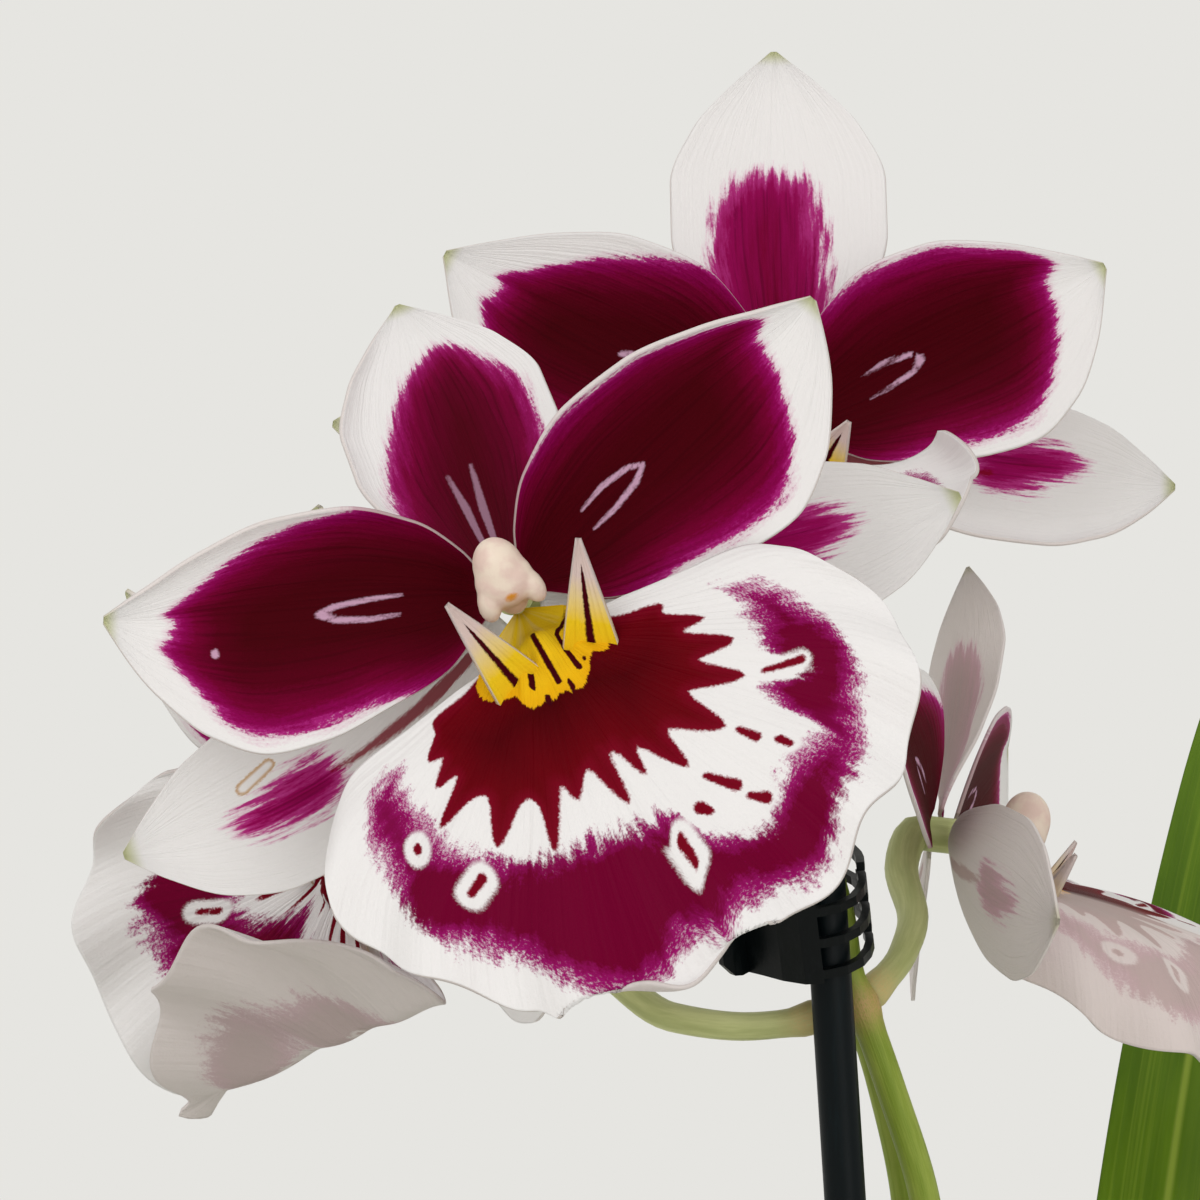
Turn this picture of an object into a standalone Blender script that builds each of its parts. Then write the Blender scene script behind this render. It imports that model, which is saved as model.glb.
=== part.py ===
"""A potted pansy orchid: four blooms on two staked spikes, strap leaves, pseudobulbs, bark and pot.

Millimetres are used in the tables below and turned into metres by MM. World axes: X to the right,
Y away from the front bloom's viewer, Z up, with the origin under the middle of the pot.
A bloom's own axes: x to its right, y towards its dorsal sepal, z out of its face.
"""

import math
import random

import bmesh
import bpy
import numpy as np
from mathutils import Matrix, Vector

MM = 0.001
GAP = 0.35

# Pot and bark
POT_TOP_R = 60.0
POT_BASE_R = 43.0
POT_HEIGHT = 116.0
POT_WALL = 2.0
POT_FLOOR = 3.0
RIM_HEIGHT = 14.0
RIM_OUT = 2.6
DRAIN_RING_R = 24.0
DRAIN_R = 4.0
BARK_LEVEL = 104.0
BARK_CHIPS = 46

# Blades
BLADE = 0.8
PETAL_ROWS, PETAL_COLS = 6, 6
FRONT_ROWS, FRONT_COLS = 8, 6
LEAF_ROWS, LEAF_COLS = 10, 2

# Stems, stake and clip
STAKE_R = 2.3
STAKE_FOOT = (4.0, -2.4, 70.0)
STAKE_TOP = (-10.93, -2.4, 302.4)
CLIP_CENTRE = (-11.1, 0.4, 296.8)
CLIP_HEIGHT = 11.0
CLIP_WALL = 0.9
CLIP_HINGE = -8.6
CLIP_LEAN = -7.5
CLIP_TILT = 17.0
CLIP_LEVER = [(-11.5, 4.3), (-10.4, 3.6), (-9.6, 3.0)]
CLIP_PLAN = [(-8.6, 2.2), (-6.9, 3.8), (-4.9, 6.1), (-2.7, 7.9), (-0.5, 8.4), (1.6, 7.9), (3.3, 6.3), (4.3, 4.1),
             (4.8, 1.8), (4.9, 0.2), (4.75, -1.4)]
FINGER = 1.0
FINGER_STEP = 1.78
FINGER_START = -0.87

TIP = 0.35
PETAL_UP = [(0, 2.1), (0.06, 5.0), (0.18, 8.4), (0.38, 10.6), (0.56, 9.9), (0.74, 7.0), (0.9, 3.1), (1, TIP)]
PETAL_LOW = [(0, 2.1), (0.12, 7.4), (0.28, 10.6), (0.45, 13.4), (0.6, 14.4), (0.75, 12.2), (0.87, 7.8), (1, TIP)]
DORSAL = [(0, 2.1), (0.1, 5.8), (0.3, 9.5), (0.48, 11.6), (0.62, 11.6), (0.78, 9.0), (0.9, 4.8), (1, TIP)]
LATERAL = [(0, 1.9), (0.1, 4.0), (0.3, 6.6), (0.5, 8.4), (0.66, 8.6), (0.8, 7.0), (0.92, 3.5), (1, TIP)]
LIP_SIDE = [(0, 49.5), (0.12, 50.0), (0.28, 49.0), (0.48, 46.8), (0.6, 44.6), (0.72, 41.3), (0.84, 36.5), (0.95, 31.0),
            (1, 28.0)]
STRAIGHT = [(0, 0), (1, 0)]


def scaled(points, factor):
    return [(t, value * factor) for t, value in points]


def tepal(angle, length, depth, pitch, sway=STRAIGHT, widths=(PETAL_LOW, PETAL_UP), rolls=(STRAIGHT, STRAIGHT),
          twist=STRAIGHT, cup=12, keel=5):
    """One petal or sepal: its direction round the bloom, its length, how far behind the face it starts,
    and how its midrib rises out of the face and swings sideways. Widths and rolls are for its clockwise
    and its anticlockwise side."""
    return dict(angle=angle, length=length, start=(2.65, depth), pitch=pitch, sway=sway, widths=widths,
                rolls=rolls, twist=twist, cup=cup, keel=keel)


def bloom_shapes():
    """Every bloom's place, turn (yaw, pitch, roll in degrees), tepals and lip, as they stand."""
    hood = [(0, 10), (0.5, 45), (0.85, 50), (1, 0)]
    front = dict(
        place=(-43.8, -36, 330.5), turn=(0, 0, 24),
        dorsal_sepal=tepal(88.5, 40.5, -2.4, [(0, -58), (0.3, -48), (0.6, -34), (1, -22)],
                           widths=(DORSAL, DORSAL), rolls=(STRAIGHT, hood)),
        sepal_right=tepal(-13, 44.5, -3.6, [(0, -10), (0.5, -5), (1, 2)], [(0, -5), (0.4, -2), (1, 14)],
                          (scaled(LATERAL, 0.92), LATERAL), cup=6),
        sepal_left=tepal(196, 46.5, -3.6, [(0, -10), (0.5, -5), (1, 2)],
                         [(0, 10), (0.35, 3), (0.6, -12), (0.8, -21), (1, -24)],
                         (scaled(LATERAL, 1.07), scaled(LATERAL, 1.03)), cup=6),
        petal_right=tepal(20, 40, -1.2, [(0, 5), (0.5, 14), (1, 6)], [(0, 0), (0.8, 0), (1, 6)],
                          rolls=(STRAIGHT, hood)),
        petal_left=tepal(160, 38.5, -1.2, [(0, 5), (0.5, 12), (1, 6)], [(0, 0), (0.8, 0), (1, -6)],
                         (PETAL_UP, PETAL_LOW), (hood, STRAIGHT)),
        lip=dict(sides=([(0, 48.5), (0.08, 51), (0.17, 54), (0.27, 51.5), (0.36, 46), (0.52, 43.6), (0.65, 41.1),
                         (0.75, 39.4), (0.86, 36.2), (1, 28)],
                        [(0, 49.5), (0.12, 48.6), (0.28, 47.2), (0.48, 45.4), (0.6, 44.0), (0.72, 41.0),
                         (0.84, 36.5), (0.95, 31.0), (1, 28.0)]),
                 tilt=35, turn=7, slope=[(0, 20), (0.25, 4), (0.7, 0), (1, -8)],
                 margin=[(-1, 4), (0, 0), (1, 4)], margin_from=0.7, bends=[(-8.3, 46.0, 98, 2.8, 145)]),
    )
    back = dict(
        place=(-13.8, 27, 349.2), turn=(0, 4, 0),
        dorsal_sepal=tepal(91, 44, -2.6, [(0, -14), (1, -6)], widths=(scaled(DORSAL, 1.1),) * 2),
        sepal_right=tepal(-7, 43.5, -3.6, [(0, -10), (1, 0)], [(0, -6), (1, 6)], (LATERAL, LATERAL),
                          ([(0, 0), (0.35, 50), (0.75, 65), (1, 0)], STRAIGHT), cup=6),
        sepal_left=tepal(178, 50, -3.6, [(0, -10), (1, 0)], [(0, 6), (1, -6)], (LATERAL, LATERAL), cup=6),
        petal_right=tepal(27, 38.5, -1.2, [(0, 5), (0.5, 12), (1, 4)], widths=(PETAL_LOW, scaled(PETAL_UP, 1.2))),
        petal_left=tepal(153, 41.5, -1.2, [(0, 5), (0.5, 12), (1, 4)], widths=(scaled(PETAL_UP, 1.2), PETAL_LOW)),
        lip=dict(sides=(scaled(LIP_SIDE, 0.84),) * 2, tilt=62, turn=-4, foot=(-1.8, 0.6), slope=[(0, 15), (0.25, 4), (1, -6)],
                 margin=[(-1, 70), (-0.45, 20), (0, 0), (0.45, 20), (1, 70)], margin_from=0.3, spread=0.82),
    )
    left = dict(
        place=(-60.1, 11, 305.6), turn=(-60.4, -32.6, -44.3),
        dorsal_sepal=tepal(110, 38, -2.6, [(0, -2), (0.5, -6), (1, -6)], widths=(DORSAL, DORSAL)),
        sepal_right=tepal(-3, 35, -3.6, [(0, -10), (0.5, -14), (1, -16)], widths=(LATERAL, LATERAL), cup=6),
        sepal_left=tepal(200, 42, -3.6, [(0, 0), (0.5, 4), (1, 6)], widths=(LATERAL, LATERAL), cup=6),
        petal_right=tepal(26, 38, -1.2, [(0, 5), (0.5, 12), (1, 6)]),
        petal_left=tepal(170, 37, -1.2, [(0, 4), (0.5, 8), (1, 4)], widths=(PETAL_UP, PETAL_LOW)),
        lip=dict(sides=(scaled(LIP_SIDE, 0.99), [(t, r * (1 + 0.31 * t)) for t, r in LIP_SIDE]), tilt=24.7,
                 turn=0, slope=[(0, 20), (0.25, 4), (0.7, 0), (1, -16)], foot=(-0.4, 1.0),
                 margin=[(-1, 49), (-0.5, 49), (0, 0), (1, 0)], margin_from=0.5,
                 bends=[(15.8, 10.2, 33, 4.6, 147)]),
    )
    right = dict(
        place=(6.5, 30, 302.7), turn=(84, -6, 2),
        dorsal_sepal=tepal(60, 32.5, -2.7, [(0, 0), (1, 0)], widths=(scaled(DORSAL, 0.62),) * 2,
                           twist=[(0, 0), (0.3, 30), (1, 42)]),
        sepal_right=tepal(-29, 40, -3.6, [(0, -6), (0.5, -2), (1, 4)], widths=(LATERAL, LATERAL), cup=6),
        sepal_left=tepal(186, 40, -1.1, [(0, 6), (0.5, 20), (1, 30)], widths=(LATERAL, scaled(LATERAL, 1.15)), cup=14),
        petal_right=tepal(12, 37, -1.0, [(0, 5), (0.5, 9), (1, 5)]),
        petal_left=tepal(143, 31, -3.8, [(0, -4), (0.5, -14), (1, -20)], widths=(scaled(PETAL_UP, 0.85),) * 2),
        lip=dict(sides=(scaled(LIP_SIDE, 0.9),) * 2, tilt=76, turn=0, slope=[(0, 10), (0.25, 4), (0.7, -5), (1, -13)],
                 foot=(-3.4, 0.6), margin=[(-1, -75), (-0.4, -50), (0, 0), (1, 0)], margin_from=0.4),
    )
    return dict(bloom_front=front, bloom_back=back, bloom_left=left, bloom_right=right)


# Strap leaves: foot, compass direction, length, half width, elevation along it, swing along it
LEAVES = [
    ((20.5, 24.6, 143.5), 78, 258, 8.8, [(0, 70), (0.4, 64), (1, 52)], [(0, 0), (0.5, -12), (1, -30)]),
    ((-15.0, 20.0, 142.5), 130, 205, 9.5, [(0, 72), (0.3, 40), (0.6, 0), (1, -36)], [(0, 0), (1, 12)]),
    ((33.0, -14.0, 141.5), -40, 200, 9.0, [(0, 72), (0.35, 44), (0.7, 0), (1, -38)], [(0, 0), (1, -14)]),
]
FLANK_LEAF = (228, 9.0, [(0, 87), (0.3, 60), (0.7, 10), (1, -30)], [(0, 0), (1, -10)])
# Pseudobulbs: middle, compass direction of the broad side
BULBS = [((20.5, 24.5), 10), ((-15.0, 20.0), 205), ((33.0, -13.5), 245)]
BULB_SIZE = (13.0, 6.6, 25.0)
BULB_MID = 116.0

SPIKE_1 = [(12, 3, 84), (12, 3, 112), (10.5, 2.4, 160), (7, 1.8, 210), (2.6, 1.5, 250), (0.3, 1.6, 265),
           (-3.4, 1.7, 277), (-6.4, 1.7, 285.5), (-7.9, 1.6, 289.5), (-8.8, 1.7, 295.5), (-10.2, 2.1, 301),
           (-11.3, 1.2, 307), (-12.5, -1.2, 312.5), (-14.6, -4.2, 318)]
SPIKE_2 = [(6.5, 12, 84), (6.5, 12, 112), (5.2, 11, 160), (3, 9.5, 210), (0, 8.6, 245), (-1.6, 8.2, 264),
           (-4.4, 7.2, 277), (-7.2, 5.9, 285.5), (-9.8, 4.6, 291), (-11.9, 4.1, 296), (-12.9, 4.1, 302),
           (-13.4, 4.5, 307), (-13.4, 7.5, 312), (-12.6, 12.5, 316)]
PEDICELS = dict(
    bloom_front=[(-14.9, -4.9, 318.7), (-19, -9.5, 320.6), (-28, -17, 323.5), (-37, -23.5, 327.4)],
    bloom_back=[(-12.5, 13.0, 316.4), (-11.4, 21, 320), (-11, 30, 325), (-12.6, 38, 336)],
    bloom_left=[(-9.3, 2.9, 285.4), (-14, 4, 283.8), (-20, 6, 283.2), (-27, 10.5, 283.8), (-33, 16, 287.5),
                (-41, 21.5, 297)],
    bloom_right=[(-5.8, 7.3, 286.0), (-1.4, 12, 290.6), (0.2, 18.5, 294.6), (-0.6, 25.5, 299)],
)

COLOURS = dict(
    petal=(0.11, 0.0, 0.012), sepal=(0.62, 0.42, 0.46), lip=(0.78, 0.62, 0.66), column=(0.72, 0.5, 0.36),
    pedicel=(0.3, 0.33, 0.13), spike=(0.2, 0.26, 0.05), leaf=(0.1, 0.17, 0.01), bulb=(0.22, 0.32, 0.06),
    bark=(0.13, 0.06, 0.03), pot=(0.09, 0.085, 0.08), stake=(0.004, 0.008, 0.01), clip=(0.004, 0.005, 0.006),
    metal=(0.5, 0.5, 0.5))


def curve_through(points, t):
    """A smooth curve through (position, value) pairs that never overshoots them, read at t."""
    x, y = np.array(points, float).T
    slope = np.diff(y) / np.diff(x)
    tangent = np.zeros(len(x))
    same = slope[:-1] * slope[1:] > 0
    mean = 2 * slope[:-1] * slope[1:] / np.where(same, slope[:-1] + slope[1:], 1)
    tangent[1:-1] = np.where(same, mean, 0)
    tangent[0], tangent[-1] = slope[0], slope[-1]
    t = np.clip(t, x[0], x[-1])
    k = np.clip(np.searchsorted(x, t, side="right") - 1, 0, len(x) - 2)
    width = x[k + 1] - x[k]
    s = (t - x[k]) / width
    return (y[k] * (2 * s**3 - 3 * s**2 + 1) + y[k + 1] * (3 * s**2 - 2 * s**3)
            + width * (tangent[k] * (s**3 - 2 * s**2 + s) + tangent[k + 1] * (s**3 - s**2)))


def summed(values, step, axis):
    """Running sum along an axis, starting at zero and taken between neighbours."""
    values = np.moveaxis(values, axis, 0)
    middle = (values[1:] + values[:-1]) / 2 * step
    total = np.concatenate([np.zeros_like(values[:1]), np.cumsum(middle, 0)])
    return np.moveaxis(total, 0, axis)


def blade_points(shape, rows, cols, fine=6):
    """Points of a petal, sepal or leaf: a midrib that is bent step by step, with a section across it
    that is cupped, keeled and rolled at the margins."""
    t = np.linspace(0, 1, rows * fine + 1)
    pitch, sway, twist = (np.radians(curve_through(shape[key], t)) for key in ("pitch", "sway", "twist"))
    along = np.stack([np.cos(pitch) * np.cos(sway), np.cos(pitch) * np.sin(sway), np.sin(pitch)], -1)
    path = summed(along, shape["length"] / (rows * fine), 0) + (shape["start"][0], 0, shape["start"][1])
    across = np.stack([-np.sin(sway), np.cos(sway), np.zeros_like(sway)], -1)
    normal = np.cross(along, across)
    turn_cos, turn_sin = np.cos(twist)[:, None], np.sin(twist)[:, None]
    across, normal = across * turn_cos + normal * turn_sin, normal * turn_cos - across * turn_sin
    v = np.sin(np.linspace(-1, 1, cols * fine + 1) * 1.18) / math.sin(1.18)
    side = (v > 0).astype(int)
    roll = np.radians(np.stack([curve_through(points, t) for points in shape["rolls"]]))[side].T
    edge = np.clip((np.abs(v) - 0.66) / 0.34, 0, 1)
    slope = math.radians(shape["cup"]) * v + math.radians(shape["keel"]) * np.tanh(v / 0.15)
    slope = slope + np.sign(v) * edge * roll
    middle = (slope[:, 1:] + slope[:, :-1]) / 2
    flat = np.concatenate([np.zeros((len(t), 1)), np.cumsum(np.cos(middle) * np.diff(v), 1)], 1)
    lift = np.concatenate([np.zeros((len(t), 1)), np.cumsum(np.sin(middle) * np.diff(v), 1)], 1)
    centre = cols * fine // 2
    width = np.stack([curve_through(points, t) for points in shape["widths"]])[side].T
    flat = (flat - flat[:, centre:centre + 1]) * width
    lift = (lift - lift[:, centre:centre + 1]) * width
    points = path[:, None] + across[:, None] * flat[..., None] + normal[:, None] * lift[..., None]
    angle = math.radians(shape["angle"])
    turned = points @ np.array([[math.cos(angle), math.sin(angle), 0], [-math.sin(angle), math.cos(angle), 0],
                                [0, 0, 1]])
    return turned[::fine, ::fine]


def lip_points(shape, rows, cols, fine=6):
    """Points of a lip: a fan of rays that spread from the throat, each with its own reach and slope, and
    any half or margin of it bent round a straight crease."""
    row = np.linspace(0, 1, rows + 1) ** 0.85
    rho = np.interp(np.linspace(0, rows, rows * fine + 1), np.arange(rows + 1), row)
    v = np.linspace(-1, 1, cols + 1)
    reach = np.where(v < 0, curve_through(shape["sides"][0], -v), curve_through(shape["sides"][1], v))
    reach = reach + 2.6 * np.exp(-((v / 0.025) ** 2)) + 0.45 * np.sin(31 * v + 1)
    spread = [(0, 60), (0.12, 50), (0.3, 59), (0.5, 65), (0.8, 70), (1, 67)]
    spread = np.radians(curve_through(spread, rho)) * shape.get("spread", 1)
    rise = np.clip((rho[:, None] - shape["margin_from"]) / (1 - shape["margin_from"]), 0, 1) ** 1.2
    slope = np.radians(curve_through(shape["slope"], rho))[:, None] + np.radians(
        curve_through(shape["margin"], v))[None, :] * rise
    slope = slope + math.radians(6) * rho[:, None] ** 2 * np.sin(21 * v + 0.6)[None, :]
    middle = (slope[1:] + slope[:-1]) / 2
    step = np.diff(rho)[:, None] * (reach - THROAT)
    out = np.vstack([np.zeros(cols + 1), np.cumsum(np.cos(middle) * step, 0)]) + THROAT
    lift = np.vstack([np.zeros(cols + 1), np.cumsum(np.sin(middle) * step, 0)])
    x = (out * np.sin(spread[:, None] * v))[::fine]
    down = (out * np.cos(spread[:, None] * v))[::fine]
    lift = lift[::fine]
    for crease_x, crease_down, heading, radius, turn in shape.get("bends", ()):
        heading, turn = math.radians(heading), math.radians(turn)
        past = (x - crease_x) * math.cos(heading) + (down - crease_down) * math.sin(heading)
        arc = np.clip(past / radius, 0, turn)
        rest = np.clip(past - radius * turn, 0, None)
        moved = radius * np.sin(arc) + rest * math.cos(turn) - lift * np.sin(arc)
        bent = radius * (1 - np.cos(arc)) + rest * np.sin(arc) + lift * np.cos(arc)
        lift = np.where(past > 0, bent, lift)
        shift = np.where(past > 0, moved - past, 0)
        x, down = x + shift * math.cos(heading), down + shift * math.sin(heading)
    return in_lip_frame(shape, np.stack([x, down, lift], -1))


THROAT = 4.5


def in_lip_frame(shape, points):
    """From the lip's own plane (sideways, down it, out of it) to the bloom's axes."""
    foot = shape.get("foot", (-1.6, 1.0))
    tilt, turn = math.radians(shape["tilt"]), math.radians(shape["turn"])
    x, down, lift = np.moveaxis(np.asarray(points, float), -1, 0)
    x, down = x * math.cos(turn) + down * math.sin(turn), down * math.cos(turn) - x * math.sin(turn)
    forward = down * math.sin(tilt) + lift * math.cos(tilt)
    return np.stack([x, foot[0] - down * math.cos(tilt) + lift * math.sin(tilt), foot[1] + forward], -1)


def bloom_matrix(place, turn):
    """World matrix of a bloom, in metres, from its place and its yaw, pitch and roll."""
    yaw, pitch, roll = (math.radians(value) for value in turn)
    out = Vector((math.sin(yaw) * math.cos(pitch), -math.cos(yaw) * math.cos(pitch), math.sin(pitch)))
    right = Vector((math.cos(yaw), math.sin(yaw), 0))
    up = out.cross(right)
    axes = Matrix((right * math.cos(roll) + up * math.sin(roll), up * math.cos(roll) - right * math.sin(roll), out))
    return Matrix.Translation(Vector(place) * MM) @ axes.transposed().to_4x4()


def new_collection(name):
    collection = bpy.data.collections.new(name)
    bpy.context.scene.collection.children.link(collection)
    return collection


def material(kind, roughness=0.5, metallic=0.0):
    name = "orchid_" + kind
    if name not in bpy.data.materials:
        made = bpy.data.materials.new(name)
        made.use_nodes = True
        shader = made.node_tree.nodes["Principled BSDF"]
        shader.inputs["Base Color"].default_value = (*COLOURS[kind], 1)
        shader.inputs["Roughness"].default_value = roughness
        shader.inputs["Metallic"].default_value = metallic
    return bpy.data.materials[name]


def add_object(name, data, kind=None, collection=None):
    """A new object in the plant's collection, or in another one, with the material of its kind."""
    obj = bpy.data.objects.new(name, data)
    (collection or PLANT).objects.link(obj)
    if kind:
        source = material(kind)
        own = source.copy()
        own.name = name + "_surface"
        data.materials.append(own)
    return obj


def mesh_from(bm, name):
    data = bpy.data.meshes.new(name)
    bm.to_mesh(data)
    bm.free()
    return data


def sheet(name, points):
    """A grid whose points are moved to the given ones, then split into triangles, so that both faces of
    the blade made from it fold the same way."""
    rows, cols = points.shape[0] - 1, points.shape[1] - 1
    bm = bmesh.new()
    bmesh.ops.create_grid(bm, x_segments=cols, y_segments=rows, size=1)
    for vert in bm.verts:
        i = round((vert.co.y + 1) / 2 * rows)
        j = round((vert.co.x + 1) / 2 * cols)
        vert.co = Vector(points[i, j] * MM)
    bmesh.ops.triangulate(bm, faces=bm.faces[:], quad_method="SHORT_EDGE")
    return mesh_from(bm, name)


def blade(name, points, kind, thickness=BLADE, collection=None):
    obj = add_object(name, sheet(name, points), kind, collection)
    shell = obj.modifiers.new("Thickness", "SOLIDIFY")
    shell.thickness = thickness * MM
    shell.offset = 0
    return obj


def tube(name, points, radii, kind=None, sides=2, collection=None):
    """A round stem through the points, with its radius at each, smoothed between them."""
    points = np.array(points, float)
    lengths = np.concatenate([[0], np.cumsum(np.linalg.norm(np.diff(points, axis=0), axis=1))])
    at = np.linspace(0, lengths[-1], max(5, int(lengths[-1] / (2.2 * max(radii))) + 1))
    at = at if len(at) < 26 else np.linspace(0, lengths[-1], 26)
    smooth = np.stack([curve_through(list(zip(lengths, points[:, k])), at) for k in range(3)], -1)
    width = np.interp(at, lengths, np.interp(lengths, np.linspace(0, lengths[-1], len(radii)), radii))
    curve = bpy.data.curves.new(name, "CURVE")
    curve.dimensions = "3D"
    curve.bevel_depth = MM
    curve.bevel_resolution = sides
    curve.use_fill_caps = True
    spline = curve.splines.new("POLY")
    spline.points.add(len(at) - 1)
    for point, place, radius in zip(spline.points, smooth, width):
        point.co = (*(place * MM), 1)
        point.radius = radius
    return add_object(name, curve, kind, collection)


def as_mesh(obj):
    """Replaces an object by the mesh it is seen as, with loose caps welded."""
    graph = bpy.context.evaluated_depsgraph_get()
    data = bpy.data.meshes.new_from_object(obj.evaluated_get(graph))
    bm = bmesh.new()
    bm.from_mesh(data)
    bmesh.ops.remove_doubles(bm, verts=bm.verts[:], dist=1e-6)
    bmesh.ops.recalc_face_normals(bm, faces=bm.faces[:])
    bm.to_mesh(data)
    bm.free()
    name, matrix, home = obj.name, obj.matrix_world.copy(), obj.users_collection[0]
    bpy.data.objects.remove(obj)
    made = bpy.data.objects.new(name, data)
    made.matrix_world = matrix
    home.objects.link(made)
    return made


def solid(name, make, matrix=None, kind=None, collection=None):
    """An object from a bmesh primitive, shaped by its own matrix."""
    bm = bmesh.new()
    make(bm)
    if matrix:
        bmesh.ops.transform(bm, matrix=matrix, verts=bm.verts)
    if matrix and matrix.determinant() < 0:
        bmesh.ops.reverse_faces(bm, faces=bm.faces)
    return add_object(name, mesh_from(bm, name), kind, collection)


def ball(u=10, v=7):
    return lambda bm: bmesh.ops.create_uvsphere(bm, u_segments=u, v_segments=v, radius=1)


def cone(bottom, top, depth, sides=12):
    return lambda bm: bmesh.ops.create_cone(bm, cap_ends=True, segments=sides, radius1=bottom * MM,
                                            radius2=top * MM, depth=depth * MM)


def box(bm):
    bmesh.ops.create_cube(bm, size=1)


def placed(at, size=(1, 1, 1), turn=(0, 0, 0)):
    """Matrix in metres: scale in millimetres, then turns about X, Y and Z, then the place."""
    matrix = Matrix.Translation(Vector(at) * MM)
    for angle, axis in zip(reversed(turn), "ZYX"):
        matrix = matrix @ Matrix.Rotation(math.radians(angle), 4, axis)
    return matrix @ Matrix.Diagonal((*(Vector(size) * MM), 1))


def rigid(at, turn=(0, 0, 0)):
    return placed(at, (1 / MM,) * 3, turn)


def apply_boolean(obj, other, operation, solver="EXACT"):
    """Joins or cuts an object with another one, then removes the other."""
    step = obj.modifiers.new("Step", "BOOLEAN")
    step.operation = operation
    step.solver = solver
    step.object = other
    graph = bpy.context.evaluated_depsgraph_get()
    data = bpy.data.meshes.new_from_object(obj.evaluated_get(graph))
    slots = [slot.material for slot in obj.material_slots]
    obj.modifiers.clear()
    obj.data = data
    obj.data.materials.clear()
    for kept in slots[:1]:
        obj.data.materials.append(kept)
    bpy.data.objects.remove(other)
    return obj


def cut_later(obj, cutter):
    """Leaves a cut on the object as a modifier, with its cutter kept out of the render."""
    cutter.hide_render = True
    cutter.display_type = "WIRE"
    step = obj.modifiers.new("Cut " + cutter.name, "BOOLEAN")
    step.operation = "DIFFERENCE"
    step.solver = "EXACT"
    step.object = cutter


def smooth(obj, angle=40):
    if obj.type == "MESH":
        obj.data.shade_smooth()
        obj.data.set_sharp_from_angle(angle=math.radians(angle))
    return obj


def make_pot():
    """Turned thin-walled pot with a band rim, a raised floor edge and drainage holes round the base."""
    top, wall, base = POT_TOP_R, POT_WALL, POT_BASE_R
    lean = (top - RIM_OUT - base) / POT_HEIGHT
    shoulder = POT_HEIGHT - RIM_HEIGHT
    profile = [(0, POT_FLOOR), (base - wall, POT_FLOOR), (base + lean * shoulder - wall, shoulder),
               (top - wall, POT_HEIGHT), (top, POT_HEIGHT), (top - 0.9, shoulder + 1), (top - 1.6, shoulder),
               (base + lean * shoulder, shoulder), (base + lean * 4, 4), (base - 1.5, 0), (0, 0)]
    bm = bmesh.new()
    verts = [bm.verts.new((r * MM, 0, z * MM)) for r, z in profile]
    for one, other in zip(verts, verts[1:]):
        bm.edges.new((one, other))
    pot = add_object("pot", mesh_from(bm, "pot"), "pot")
    turned = pot.modifiers.new("Turned", "SCREW")
    turned.steps = turned.render_steps = 44
    turned.use_merge_vertices = True
    turned.merge_threshold = 1e-5
    turned.use_smooth_shade = True
    for k in range(5):
        angle = math.radians(72 * k + 18)
        at = (DRAIN_RING_R * math.cos(angle), DRAIN_RING_R * math.sin(angle), POT_FLOOR / 2)
        cut_later(pot, solid(f"drain_{k + 1}", cone(DRAIN_R, DRAIN_R, 3 * POT_FLOOR, 10), rigid(at), collection=CUTTERS))
    return pot


def chip_height(x, y):
    """Height of the bark bed: chips lie at their own heights and tilts, and the higher ones hide the
    lower ones where they meet."""
    draw = random.Random(11)
    height = np.full_like(x, -3.0)
    for k in range(BARK_CHIPS):
        angle, r = k * 2.39996, 56 * math.sqrt((k + 0.5) / BARK_CHIPS)
        cx, cy = r * math.cos(angle) + draw.uniform(-3, 3), r * math.sin(angle) + draw.uniform(-3, 3)
        turn, long, wide = draw.uniform(0, 3.14), draw.uniform(8, 13), draw.uniform(4.5, 7)
        along = (x - cx) * math.cos(turn) + (y - cy) * math.sin(turn)
        over = (y - cy) * math.cos(turn) - (x - cx) * math.sin(turn)
        top = draw.uniform(-1, 2.6) + along * draw.uniform(-0.16, 0.16) + over * draw.uniform(-0.2, 0.2)
        inside = np.maximum(np.abs(along) / long, np.abs(over) / wide)
        height = np.maximum(height, np.where(inside < 1, top, top - (inside - 1) * 9))
    return height


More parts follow.
